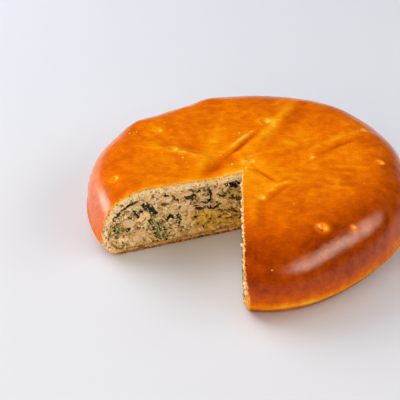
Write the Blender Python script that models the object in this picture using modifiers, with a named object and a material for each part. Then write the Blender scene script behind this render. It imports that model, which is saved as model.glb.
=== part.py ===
"""Round chicken, mushroom and spinach pie with one wedge cut out of it.

The pie stands on its flat base at z = 0, with the middle of its bounding box over the origin.
It is two solids: the baked dough crust, open at the two cuts, and the filling that runs through it.
Blender 4.5, metres, +Z up.
"""

import math

import bmesh
import bpy
from mathutils import Matrix, Vector, noise

MM = 0.001

# Turned form of the pie, before its outline is made uneven.
WIDEST_RADIUS = 130 * MM
PIE_HEIGHT = 55 * MM
FOOT_RADIUS = 114 * MM
WIDEST_HEIGHT = 18 * MM
FLAT_TOP_RADIUS = 92 * MM
SHOULDER_POWER = 2.2
CENTRE_DIP = 1.2 * MM

# Seam where the top sheet of dough is pressed onto the base sheet.
SEAM_HEIGHT = 13 * MM
SEAM_REACH = 1.6 * MM
SEAM_HALF_WIDTH = 1.8 * MM

# Uneven outline: waves round the rim, each with its count, cosine and sine parts.
RIM_WAVES = (
    (1, 1.5 * MM, 4.1 * MM),
    (2, -0.7 * MM, 2.0 * MM),
    (3, -3.2 * MM, 1.8 * MM),
    (4, 1.6 * MM, -0.3 * MM),
    (5, 0.6 * MM, 0.2 * MM),
    (6, -1.1 * MM, -0.6 * MM),
)

# Dough thickness.
TOP_DOUGH = 6.5 * MM
SIDE_DOUGH = 5 * MM
BASE_DOUGH = 3.5 * MM
MESH_GAP = 0.3 * MM

# The removed wedge: its tip, and the directions of its two cuts from there.
CUT_TIP = (-6.5 * MM, -13.5 * MM)
LEFT_CUT_DEG = 199.8
RIGHT_CUT_DEG = 269.3
CUT_REACH = 190 * MM
CORE_RECESS = 1.2 * MM
CRUMB_RELIEF = 0.7 * MM
CRUMB_STEP = 7 * MM

# Folds of the top sheet, in mm: start, bend, end, height (a groove is below zero) and half width.
FOLDS = (
    ((-9, 13), (22, 50), (38, 98), 1.9, 4.5),
    ((-24, 14), (-8, 34), (7, 49), 1.4, 3.8),
    ((-80, 35), (-79, 24), (-72, 18), 1.3, 3.8),
    ((-75, 19), (-53, 19), (-31, 5), 1.5, 4.2),
    ((-35, 9), (-40, -6), (-48, -26), 1.8, 5.5),
    ((-9, 13), (-5, 2), (-3, -12), 1.2, 4.0),
    ((5, -52), (15, -36), (36, -23), 1.4, 3.8),
    ((0, -54), (0, -70), (0, -88), 1.4, 4.2),
    ((57, -33), (64, -37), (72, -36), 0.8, 3.5),
    ((47, 18), (72, 40), (100, 47), 1.5, 3.8),
    ((73, 1), (87, 8), (101, 7), 0.9, 3.5),
    ((-23, 7), (-8, 28), (8, 46), -1.5, 3.5),
    ((-24, 6), (-28, -4), (-36, -19), -1.8, 4.5),
    ((3, -9), (10, -17), (17, -27), -1.2, 3.5),
    ((12, -53), (20, -38), (31, -30), -1.3, 3.6),
    ((7, -55), (7, -70), (5, -86), -1.4, 3.8),
    ((52, 11), (70, 28), (93, 40), -1.2, 3.6),
    ((15, 5), (30, 14), (45, 24), -0.9, 6.0),
    ((24, 44), (39, 62), (48, 96), -1.3, 5.5),
    ((-46, 24), (-60, 29), (-74, 32), -1.0, 6.0),
)
FOLD_SAMPLES = 20

# Steam holes pricked in the top, in mm: place, and radius of the ball that presses each dimple.
STEAM_HOLES = (
    (-62, 20, 4.0),
    (13, 65, 4.2),
    (-75, 48, 3.2),
    (-107, -20, 3.0),
    (47, 8, 3.4),
    (93, 52, 3.0),
    (102, 2, 3.0),
    (0, 3, 2.6),
    (6, -51, 2.6),
    (49, -89, 4.2),
    (73, -82, 2.2),
)
HOLE_DEPTH = 0.6

# Pieces that show in each cut, in mm: distance from the tip, height, width, thickness and tilt.
CHICKEN = {
    "left": (
        (55, 33, 17, 11, 10),
        (79, 31, 12, 12, 30),
        (63, 43, 11, 7, 15),
        (62, 15, 12, 12, 60),
        (33, 37, 10, 8, 0),
        (21, 42, 10, 6, 10),
        (46, 46, 12, 5, 0),
        (94, 27, 12, 10, -20),
        (100, 15, 11, 8, 10),
        (84, 14, 13, 9, -15),
        (38, 17, 12, 7, 5),
        (16, 14, 12, 7, 0),
    ),
    "right": (
        (93, 24, 19, 17, 0),
        (75, 27, 16, 20, 20),
        (53, 42, 18, 10, 20),
        (23, 36, 12, 10, 0),
        (60, 17, 14, 10, 0),
        (39, 26, 13, 10, -30),
        (88, 39, 13, 8, 15),
        (23, 19, 11, 10, 0),
        (71, 44, 11, 6, 10),
        (104, 12, 10, 8, -20),
        (41, 12, 12, 7, 0),
        (9, 38, 9, 8, 0),
    ),
}
MUSHROOM = {
    "left": (
        (92, 39, 17, 6, -10),
        (31, 27, 18, 4, 5),
        (13, 20, 13, 4, 0),
        (74, 20, 12, 5, 25),
        (50, 9, 12, 4, 0),
    ),
    "right": (
        (105, 39, 15, 6, -40),
        (84, 47, 13, 4, -5),
        (41, 38, 15, 4, 5),
        (63, 8, 10, 4, 10),
        (14, 27, 11, 4, 30),
    ),
}
SPINACH = {
    "left": (
        (73, 36, 20, 5, -38),
        (69, 22, 23, 6, 65),
        (55, 22, 18, 5, -40),
        (45, 39, 13, 6, -20),
        (27, 34, 12, 5, 80),
        (8, 43, 9, 6, 30),
        (8, 30, 12, 5, -10),
        (91, 33, 11, 5, 10),
        (36, 10, 12, 4, 0),
        (104, 26, 11, 4, 70),
    ),
    "right": (
        (27, 44, 12, 6, 60),
        (15, 40, 11, 5, -65),
        (61, 31, 15, 7, -40),
        (50, 24, 16, 8, -50),
        (48, 12, 16, 7, -10),
        (82, 43, 9, 4, 30),
        (31, 30, 8, 4, 70),
        (68, 37, 9, 4, 20),
        (98, 36, 12, 4, 50),
        (86, 11, 10, 4, -10),
    ),
}
PIECE_DEPTH = 3.0 * MM
PIECE_GAP = 0.8 * MM
CUT_MIDDLE = (50, 0, 26)
LEAF_THICKNESS = 0.9 * MM
LEAF_WAVE = 1.1 * MM
LEAF_GRID = (6, 1)

# Broad swells of the top: direction in degrees, length and height of each wave, and its phase.
SWELLS = (
    (20, 95 * MM, 0.45 * MM, 0.5),
    (110, 70 * MM, 0.35 * MM, 1.9),
    (65, 48 * MM, 0.25 * MM, 4.0),
    (160, 120 * MM, 0.40 * MM, 2.7),
)

# Swollen places on the shoulder at the back left, in mm: place, height and half width.
SWOLLEN_PLACES = (
    (-93, 67, 3.7, 16),
    (-34, 108, 2.2, 16),
    (-68, 90, 2.2, 18),
)

# Fineness of the solids: steps round the axis, and rings on the top, shoulder and flank.
CRUST_STEPS = 90
CRUST_RINGS = (13, 7, 6)
ROOM_STEPS = 45
ROOM_RINGS = (5, 6, 3)
SHARP_ANGLE = math.radians(35)

CRUST_COLOUR = (0.72, 0.24, 0.02, 1.0)
CRUST_ROUGHNESS = 0.25
FILLING_COLOUR = (0.62, 0.50, 0.30, 1.0)
FILLING_ROUGHNESS = 0.6


def clear_scene():
    """Removes the objects that the file starts with."""
    for obj in list(bpy.data.objects):
        bpy.data.objects.remove(obj, do_unlink=True)


def new_collection(name):
    """A collection linked to the scene."""
    collection = bpy.data.collections.new(name)
    bpy.context.scene.collection.children.link(collection)
    return collection


def smoothstep(low, high, value):
    """0 below low, 1 above high, and a smooth rise between them."""
    t = min(max((value - low) / (high - low), 0.0), 1.0)
    return t * t * (3 - 2 * t)


def rim_factor(angle):
    """How much wider or narrower than the turned form the pie is at this angle."""
    waves = sum(c * math.cos(n * angle) + s * math.sin(n * angle) for n, c, s in RIM_WAVES)
    return 1 + waves / WIDEST_RADIUS


def outline_middle():
    """Middle of the rim's bounding box, which is moved onto the origin."""
    angles = [math.radians(degree) for degree in range(360)]
    xs = [WIDEST_RADIUS * rim_factor(a) * math.cos(a) for a in angles]
    ys = [WIDEST_RADIUS * rim_factor(a) * math.sin(a) for a in angles]
    return Vector(((min(xs) + max(xs)) / 2, (min(ys) + max(ys)) / 2, 0))


def fold_curves():
    """Each fold as points along its curve, with its height and half width, all in metres."""
    curves = []
    for start, bend, end, height, half_width in FOLDS:
        points = []
        for i in range(FOLD_SAMPLES + 1):
            t = i / FOLD_SAMPLES
            x = (1 - t) ** 2 * start[0] + 2 * t * (1 - t) * bend[0] + t**2 * end[0]
            y = (1 - t) ** 2 * start[1] + 2 * t * (1 - t) * bend[1] + t**2 * end[1]
            points.append((x * MM, y * MM, t))
        curves.append((points, height * MM, half_width * MM))
    return curves


FOLD_CURVES = fold_curves()


def fold_relief(x, y):
    """Height that the folds add to the top at this place."""
    total = 0.0
    for points, height, half_width in FOLD_CURVES:
        distance, t = min((math.hypot(x - px, y - py), t) for px, py, t in points)
        fade = math.sin(math.pi * (0.12 + 0.76 * t))
        total += height * fade * math.exp(-((distance / half_width) ** 2))
    return total


def broad_relief(x, y):
    """Broad swells of the top, a sum of plane waves, its swollen places and the dip in its middle."""
    total = -CENTRE_DIP * (1 - smoothstep(20 * MM, 75 * MM, math.hypot(x, y)))
    for degrees, length, height, phase in SWELLS:
        turn = math.radians(degrees)
        along = x * math.cos(turn) + y * math.sin(turn)
        total += height * math.sin(2 * math.pi * along / length + phase)
    for place_x, place_y, height, half_width in SWOLLEN_PLACES:
        distance = math.hypot(x - place_x * MM, y - place_y * MM)
        total += height * MM * math.exp(-((distance / (half_width * MM)) ** 2))
    return total


def top_relief(x, y):
    """All that the folds and swells add to the height of the top."""
    return fold_relief(x, y) + broad_relief(x, y)


def side_profile(radius, height, foot_radius, base, widest_height, flat_radius, rings):
    """Half section of a flat-topped round with a superelliptical shoulder.

    It runs from the middle of the top, out over the shoulder, and in under the foot.
    """
    flat_rings, shoulder_rings, flank_rings = rings
    points = [(flat_radius * i / flat_rings, height) for i in range(flat_rings)]
    for i in range(shoulder_rings + 1):
        a = math.pi / 2 * (1 - i / shoulder_rings)
        across = max(math.cos(a), 0.0) ** (2 / SHOULDER_POWER)
        rise = math.sin(a) ** (2 / SHOULDER_POWER)
        r = flat_radius + (radius - flat_radius) * across
        points.append((r, widest_height + (height - widest_height) * rise))
    for i in range(1, flank_rings + 1):
        a = math.pi / 2 * i / flank_rings
        r = foot_radius + (radius - foot_radius) * math.cos(a)
        points.append((r, widest_height - (widest_height - base) * math.sin(a)))
    points.append((0.0, base))
    return points


def turned(name, profile, steps, collection):
    """The profile turned about Z by a Screw modifier, as a plain mesh object."""
    mesh = bpy.data.meshes.new(name)
    points = [(r, 0.0, z) for r, z in profile]
    mesh.from_pydata(points, [(i, i + 1) for i in range(len(points) - 1)], [])
    obj = bpy.data.objects.new(name, mesh)
    collection.objects.link(obj)
    screw = obj.modifiers.new("Turn", "SCREW")
    screw.steps = screw.render_steps = steps
    screw.use_merge_vertices = True
    screw.merge_threshold = 0.00001
    apply_modifiers(obj)
    return obj


def apply_modifiers(obj):
    """Replaces the object's mesh by its evaluated one and removes its modifiers."""
    bpy.context.view_layer.update()
    graph = bpy.context.evaluated_depsgraph_get()
    mesh = bpy.data.meshes.new_from_object(obj.evaluated_get(graph))
    obj.modifiers.clear()
    obj.data = mesh


def upper_share(z):
    """0 on the flank, 1 near the top: how much of the top's relief a height takes."""
    return smoothstep(0.55 * PIE_HEIGHT, 0.88 * PIE_HEIGHT, z)


def make_uneven(obj, folded):
    """Gives a turned form the pie's uneven outline and the swells, or also the folds, of its top."""
    middle = outline_middle()
    for vertex in obj.data.vertices:
        x, y, z = vertex.co
        factor = rim_factor(math.atan2(y, x)) if math.hypot(x, y) > MM else 1.0
        x, y = x * factor, y * factor
        relief = top_relief(x, y) if folded else broad_relief(x, y)
        vertex.co = Vector((x, y, z + relief * upper_share(z))) - middle


def press_seam(profile):
    """Adds the small lip of the seam to a side profile's flank."""
    pressed = []
    for r, z in profile:
        reach = SEAM_REACH * math.exp(-(((z - SEAM_HEIGHT) / SEAM_HALF_WIDTH) ** 2))
        pressed.append((r + reach if r > FOOT_RADIUS * 0.9 else r, z))
    return pressed


def surface_height(x, y):
    """Height of the outer surface at a place on the top or shoulder, before the move to the origin."""
    r = math.hypot(x, y) / rim_factor(math.atan2(y, x))
    if r <= FLAT_TOP_RADIUS:
        plain = PIE_HEIGHT
    else:
        across = min((r - FLAT_TOP_RADIUS) / (WIDEST_RADIUS - FLAT_TOP_RADIUS), 1.0)
        rise = (1 - across**SHOULDER_POWER) ** (1 / SHOULDER_POWER)
        plain = WIDEST_HEIGHT + (PIE_HEIGHT - WIDEST_HEIGHT) * rise
    return plain + top_relief(x, y) * upper_share(plain)


def wedge_outline(recess):
    """Corners of the removed wedge seen from above: end of the left cut, tip, end of the right cut.

    Both cuts are moved back into the pie by recess.
    """
    left = math.radians(LEFT_CUT_DEG)
    right = math.radians(RIGHT_CUT_DEG)
    bisector = (left + right) / 2
    tip = Vector((CUT_TIP[0], CUT_TIP[1], 0)) - outline_middle()
    tip -= recess / math.sin((right - left) / 2) * direction(bisector)
    return tip + CUT_REACH * direction(left), tip, tip + CUT_REACH * direction(right)


def direction(angle):
    """Level unit vector at this angle from +X."""
    return Vector((math.cos(angle), math.sin(angle), 0))


def wedge_cutter(name, recess, relief, collection):
    """Upright prism of the removed wedge. Its two cuts are crumbly by relief, on a grid of crumbs."""
    left_end, tip, right_end = wedge_outline(recess)
    steps = round(CUT_REACH / CRUMB_STEP) if relief else 1
    outline = [left_end.lerp(tip, i / steps) for i in range(steps)]
    outline += [tip.lerp(right_end, i / steps) for i in range(steps + 1)]
    levels = round(2 * PIE_HEIGHT / CRUMB_STEP) if relief else 1
    low, high = -0.5 * PIE_HEIGHT, 1.5 * PIE_HEIGHT
    inward = -direction(math.radians((LEFT_CUT_DEG + RIGHT_CUT_DEG) / 2))
    shape = bmesh.new()
    layers = []
    for level in range(levels + 1):
        layer = []
        for corner in outline:
            place = corner + Vector((0, 0, low + (high - low) * level / levels))
            layer.append(shape.verts.new(place + relief * inward * noise.noise(place / CRUMB_STEP)))
        layers.append(layer)
    shape.faces.new(layers[0])
    shape.faces.new(layers[-1])
    for below, above in zip(layers, layers[1:]):
        for i in range(len(outline)):
            j = (i + 1) % len(outline)
            shape.faces.new((below[i], below[j], above[j], above[i]))
    flat_ends = [face for face in shape.faces if len(face.verts) > 4]
    bmesh.ops.triangulate(shape, faces=flat_ends)
    bmesh.ops.recalc_face_normals(shape, faces=shape.faces)
    return helper(name, shape, collection)


def helper(name, shape, collection):
    """An object that only cuts or joins others: it isn't part of the pie."""
    mesh = bpy.data.meshes.new(name)
    shape.to_mesh(mesh)
    shape.free()
    obj = bpy.data.objects.new(name, mesh)
    collection.objects.link(obj)
    obj.hide_render = True
    obj.display_type = "WIRE"
    return obj


def hole_cutters(collection):
    """A small sphere for each steam hole, sunk in the surface by a share of its radius."""
    middle = outline_middle()
    for i, (x, y, radius) in enumerate(STEAM_HOLES):
        x, y, radius = x * MM, y * MM, radius * MM
        height = surface_height(x, y) + radius * (1 - HOLE_DEPTH)
        shape = bmesh.new()
        bmesh.ops.create_uvsphere(shape, u_segments=10, v_segments=6, radius=radius)
        bmesh.ops.translate(shape, verts=shape.verts, vec=Vector((x, y, height)) - middle)
        helper(f"steam_hole_cutter_{i:02d}", shape, collection)


def boolean(obj, operation, other=None, collection=None):
    """Adds an exact Boolean modifier that takes an object or a collection."""
    modifier = obj.modifiers.new(operation.title(), "BOOLEAN")
    modifier.operation = operation
    modifier.solver = "EXACT"
    if collection is None:
        modifier.object = other
    else:
        modifier.operand_type = "COLLECTION"
        modifier.collection = collection


def face_frame(side):
    """Matrix from a cut's own axes (along the cut, out of it, up) to the pie's frame."""
    degrees = LEFT_CUT_DEG if side == "left" else RIGHT_CUT_DEG
    turn = math.radians(degrees)
    along = Vector((math.cos(turn), math.sin(turn), 0))
    out = Vector((-along.y, along.x, 0)) if side == "left" else Vector((along.y, -along.x, 0))
    up = Vector((0, 0, 1))
    tip = Vector((CUT_TIP[0], CUT_TIP[1], 0)) - outline_middle()
    frame = Matrix((along, out, up)).transposed().to_4x4()
    frame.translation = tip
    return frame


def room_reach(side, height):
    """How far from the tip, along a cut, the room inside the crust reaches at this height."""
    low, high = BASE_DOUGH, PIE_HEIGHT - TOP_DOUGH
    if not low + PIECE_GAP < height < high - PIECE_GAP - CENTRE_DIP:
        return 0.0
    if height > WIDEST_HEIGHT:
        rise = (height - WIDEST_HEIGHT) / (high - WIDEST_HEIGHT)
        across = (1 - rise**SHOULDER_POWER) ** (1 / SHOULDER_POWER)
        radius = FLAT_TOP_RADIUS + (WIDEST_RADIUS - FLAT_TOP_RADIUS) * across - SIDE_DOUGH
    else:
        fall = (WIDEST_HEIGHT - height) / (WIDEST_HEIGHT - low)
        radius = FOOT_RADIUS + (WIDEST_RADIUS - FOOT_RADIUS) * math.sqrt(1 - fall * fall) - SIDE_DOUGH
    turn = math.radians(LEFT_CUT_DEG if side == "left" else RIGHT_CUT_DEG)
    tip = Vector((CUT_TIP[0], CUT_TIP[1], 0))
    radius *= rim_factor(turn)
    along = tip.dot(direction(turn))
    return -along + math.sqrt(along**2 + radius**2 - tip.length_squared) - 3 * PIECE_GAP


def place_piece(name, shape, side, piece, collection):
    """Puts a piece modelled about its own centre into a cut: width along X, depth Y, thickness Z.

    A piece that would meet the dough is moved towards the middle of the cut until it clears it.
    """
    s, z, _, _, tilt = piece
    shape.transform(Matrix.Rotation(math.radians(-tilt), 4, "Y"))
    place = Vector((s, 0, z)) * MM
    step = (Vector(CUT_MIDDLE) * MM - place).normalized() * 0.25 * MM
    while any(place.x + v.co.x > room_reach(side, place.z + v.co.z) for v in shape.verts):
        place += step
    shape.transform(face_frame(side) @ Matrix.Translation(place))
    bmesh.ops.recalc_face_normals(shape, faces=shape.faces)
    helper(name, shape, collection)


def lump(width, thickness, bend, roughness, seed):
    """A rounded lump, bent downwards at its ends, that the knife has cut flat at y = 0."""
    shape = bmesh.new()
    bmesh.ops.create_icosphere(shape, subdivisions=2, radius=1)
    for vertex in shape.verts:
        rough = 1 + roughness * noise.noise(vertex.co * 1.7 + Vector((seed, 0, 0)))
        x = vertex.co.x * width / 2 * rough
        y = min(vertex.co.y * PIECE_DEPTH - 0.35 * PIECE_DEPTH, 0.0)
        z = vertex.co.z * thickness / 2 * rough - bend * (x / (width / 2)) ** 2
        vertex.co = (x, y, z)
    return shape


def leaf(width, height, seed):
    """A thin wavy leaf standing out of the cut by about half its wave."""
    columns, rows = LEAF_GRID
    shape = bmesh.new()
    bmesh.ops.create_grid(shape, x_segments=columns, y_segments=rows, size=1)
    for vertex in shape.verts:
        u, v = vertex.co.x, vertex.co.y
        taper = 1 - 0.75 * u * u
        wave = math.sin(3.1 * u + seed) + 0.5 * math.sin(5.3 * v + 2 * seed)
        depth = 0.9 * LEAF_WAVE * math.cos(2.3 * v + 4 * u + seed)
        vertex.co = (u * width / 2, v * PIECE_DEPTH - 0.6 * PIECE_DEPTH + 0.4 * depth, 0)
        vertex.co.z = taper * v * height * 0.35 + wave * LEAF_WAVE * 0.8
    bmesh.ops.triangulate(shape, faces=shape.faces)
    faces = list(shape.faces)
    bmesh.ops.solidify(shape, geom=faces, thickness=LEAF_THICKNESS)
    return shape


def add_cut_pieces(collection):
    """Every chicken, mushroom and spinach piece that shows in the two cuts."""
    for side in ("left", "right"):
        for i, piece in enumerate(CHICKEN[side]):
            shape = lump(piece[2] * MM, piece[3] * MM, 0.0, 0.35, i + 1.5)
            place_piece(f"chicken_{side}_{i:02d}", shape, side, piece, collection)
        for i, piece in enumerate(MUSHROOM[side]):
            width, thickness = piece[2] * MM, piece[3] * MM
            shape = lump(width, thickness, 0.35 * thickness, 0.15, i + 8.5)
            place_piece(f"mushroom_{side}_{i:02d}", shape, side, piece, collection)
        for i, piece in enumerate(SPINACH[side]):
            shape = leaf(piece[2] * MM, piece[3] * MM, i * 1.3)
            place_piece(f"spinach_{side}_{i:02d}", shape, side, piece, collection)


def plain_material(name, colour, roughness):
    """A Principled material of one colour."""
    material = bpy.data.materials.new(name)
    material.use_nodes = True
    shader = material.node_tree.nodes["Principled BSDF"]
    shader.inputs["Base Color"].default_value = colour
    shader.inputs["Roughness"].default_value = roughness
    shader.inputs["Metallic"].default_value = 0.0
    return material


def shade(obj, material):
    """Gives the object its material and smooth shading away from its sharp edges."""
    obj.data.materials.append(material)
    obj.data.shade_smooth()
    obj.data.set_sharp_from_angle(angle=SHARP_ANGLE)


def room(name, gap, collection):
    """The room inside the crust, drawn in by gap all round."""
    profile = side_profile(
        WIDEST_RADIUS - SIDE_DOUGH - gap,
        PIE_HEIGHT - TOP_DOUGH - gap,
        FOOT_RADIUS - SIDE_DOUGH - gap,
        BASE_DOUGH + gap,
        WIDEST_HEIGHT,
        FLAT_TOP_RADIUS - SIDE_DOUGH,
        ROOM_RINGS,
    )
    obj = turned(name, profile, ROOM_STEPS, collection)
    make_uneven(obj, folded=False)
    return obj


def make_crust(parts, cutters):
    """The dough shell: turned, made uneven, hollowed, then cut open by the wedge."""
    profile = side_profile(
        WIDEST_RADIUS, PIE_HEIGHT, FOOT_RADIUS, 0.0, WIDEST_HEIGHT, FLAT_TOP_RADIUS, CRUST_RINGS
    )
    crust = turned("crust", press_seam(profile), CRUST_STEPS, parts)
    make_uneven(crust, folded=True)
    cavity = room("crust_cavity", 0.0, cutters)
    cavity.hide_render = True
    cavity.display_type = "WIRE"
    wedge = wedge_cutter("wedge_cutter", 0.0, 0.0, cutters)
    holes = new_collection("steam_hole_cutters")
    hole_cutters(holes)
    boolean(crust, "DIFFERENCE", cavity)
    boolean(crust, "DIFFERENCE", wedge)
    boolean(crust, "DIFFERENCE", collection=holes)
    shade(crust, plain_material("glazed_crust", CRUST_COLOUR, CRUST_ROUGHNESS))


def make_filling(parts, cutters):
    """The filling: a core a little behind the cuts, with the pieces that show fused onto it."""
    filling = room("filling", MESH_GAP, parts)
    wedge = wedge_cutter("core_wedge_cutter", CORE_RECESS, CRUMB_RELIEF, cutters)
    pieces = new_collection("cut_pieces")
    add_cut_pieces(pieces)
    boolean(filling, "DIFFERENCE", wedge)
    boolean(filling, "UNION", collection=pieces)
    apply_modifiers(filling)
    for obj in list(pieces.objects):
        bpy.data.objects.remove(obj, do_unlink=True)
    shade(filling, plain_material("pie_filling", FILLING_COLOUR, FILLING_ROUGHNESS))


def main():
    """Builds the pie."""
    clear_scene()
    parts = new_collection("chicken_mushroom_and_spinach_pie")
    cutters = new_collection("cutters")
    make_crust(parts, cutters)
    make_filling(parts, cutters)


main()
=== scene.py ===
"""Looks of the chicken, mushroom and spinach pie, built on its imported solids.

The glazed crust and the filling are each replaced by finer pieces of the same form: one sheet of
baked dough, the filling's crumbly core, and over it the chicken, mushroom, spinach and crumbs.
All lengths are metres, +Z is up, and the pie stands at z = 0.
"""

import logging
import math
from dataclasses import dataclass, field
from enum import Enum

import bmesh
import bpy
import numpy as np
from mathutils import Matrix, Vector


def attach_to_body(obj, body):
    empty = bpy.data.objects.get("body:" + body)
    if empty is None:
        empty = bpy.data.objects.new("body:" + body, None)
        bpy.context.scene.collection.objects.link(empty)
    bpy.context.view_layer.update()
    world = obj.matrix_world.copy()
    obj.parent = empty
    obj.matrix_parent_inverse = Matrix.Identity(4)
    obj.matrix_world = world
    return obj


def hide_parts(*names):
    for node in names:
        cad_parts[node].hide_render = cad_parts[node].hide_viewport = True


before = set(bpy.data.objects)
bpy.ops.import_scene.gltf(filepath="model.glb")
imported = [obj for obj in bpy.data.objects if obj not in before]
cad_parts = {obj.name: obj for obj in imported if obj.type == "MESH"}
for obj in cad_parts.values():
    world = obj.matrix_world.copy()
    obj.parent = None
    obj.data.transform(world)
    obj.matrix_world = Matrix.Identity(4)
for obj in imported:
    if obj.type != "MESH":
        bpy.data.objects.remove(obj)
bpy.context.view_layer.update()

MM = 0.001
LOG = logging.getLogger("pie")


class Side(Enum):
    """The two cuts that the removed wedge has left, by the direction they run from its tip."""

    LEFT = 199.8
    RIGHT = 269.3

    @property
    def turn(self) -> float:
        """The cut's direction in radians."""
        return math.radians(self.value)

    @property
    def along(self) -> np.ndarray:
        """Unit vector along the cut, away from the wedge's tip."""
        return np.array([math.cos(self.turn), math.sin(self.turn), 0.0])

    @property
    def normal(self) -> np.ndarray:
        """Unit vector out of the cut, into the removed wedge."""
        sign = 1 if self is Side.LEFT else -1
        return sign * np.array([-math.sin(self.turn), math.cos(self.turn), 0.0])


def linear(hex_colour: str) -> tuple[float, float, float, float]:
    """Turns an sRGB hex colour into linear red, green, blue and an alpha of 1.

    Args:
        hex_colour: six hex digits with a leading #.

    Returns:
        The linear colour.
    """
    channels = [int(hex_colour[i : i + 2], 16) / 255 for i in (1, 3, 5)]
    turned = [c / 12.92 if c <= 0.04045 else ((c + 0.055) / 1.055) ** 2.4 for c in channels]
    return (*turned, 1.0)


def smoothstep(low: float, high: float, value: np.ndarray) -> np.ndarray:
    """0 below low, 1 above high, and the cubic 3t^2 - 2t^3 between them."""
    t = np.clip((value - low) / (high - low), 0.0, 1.0)
    return t * t * (3 - 2 * t)


def lattice_random(cells: np.ndarray, seed: int) -> np.ndarray:
    """A steady random number from 0 to 1 for each whole-numbered cell.

    Args:
        cells: (..., 3) whole numbers.
        seed: changes the whole pattern.

    Returns:
        An array without the last axis.
    """
    c = cells.astype(np.int64)
    h = c[..., 0] * 374761393 + c[..., 1] * 668265263 + c[..., 2] * 2246822519 + seed * 3266489917
    h = (h ^ (h >> 13)) & 0xFFFFFFFF
    h = (h * 1274126177) & 0xFFFFFFFF
    h = (h ^ (h >> 16)) & 0xFFFFFFFF
    return h / 4294967295.0


def value_noise(points: np.ndarray, cell: float, seed: int) -> np.ndarray:
    """Smooth noise from -1 to 1: the random values of a lattice's corners, blended by smoothstep.

    Args:
        points: (..., 3) places in metres.
        cell: size of a lattice cell in metres.
        seed: changes the whole pattern.
    """
    scaled = points / cell
    base = np.floor(scaled)
    part = scaled - base
    part = part * part * (3 - 2 * part)
    total = np.zeros(points.shape[:-1])
    for corner in np.ndindex(2, 2, 2):
        step = np.array(corner)
        weight = np.prod(np.where(step == 1, part, 1 - part), axis=-1)
        total += weight * lattice_random(base + step, seed)
    return 2 * total - 1


def cell_noise(points: np.ndarray, cell: float, seed: int) -> tuple[np.ndarray, np.ndarray]:
    """Distance to the nearest of one random point per square cell, and that point's own number.

    Args:
        points: (..., 2) places in metres.
        cell: size of a square in metres.
        seed: changes the whole pattern.

    Returns:
        The distance as a share of the cell, and a random number from 0 to 1 for each crumb.
    """
    scaled = points / cell
    base = np.floor(scaled)
    nearest = np.full(points.shape[:-1], 9.0)
    number = np.zeros(points.shape[:-1])
    for offset in np.ndindex(3, 3):
        home = base + np.array(offset) - 1
        keyed = np.concatenate([home, np.full(home.shape[:-1] + (1,), 5.0)], axis=-1)
        spot = home + np.stack([lattice_random(keyed, seed), lattice_random(keyed, seed + 1)], axis=-1)
        distance = np.linalg.norm(scaled - spot, axis=-1)
        closer = distance < nearest
        nearest = np.where(closer, distance, nearest)
        number = np.where(closer, lattice_random(keyed, seed + 2), number)
    return nearest, number


def grid_quads(rows: int, columns: int, start: int = 0, wrap: bool = False) -> np.ndarray:
    """Corner numbers of the squares of a grid of points laid out row by row.

    Args:
        rows: number of points down the grid.
        columns: number of points across it.
        start: number of the grid's first point.
        wrap: joins the last column to the first.
    """
    across = columns if wrap else columns - 1
    r, c = np.meshgrid(np.arange(rows - 1), np.arange(across), indexing="ij")
    right = (c + 1) % columns
    corners = [r * columns + c, r * columns + right, (r + 1) * columns + right, (r + 1) * columns + c]
    return np.stack(corners, axis=-1).reshape(-1, 4) + start


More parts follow.
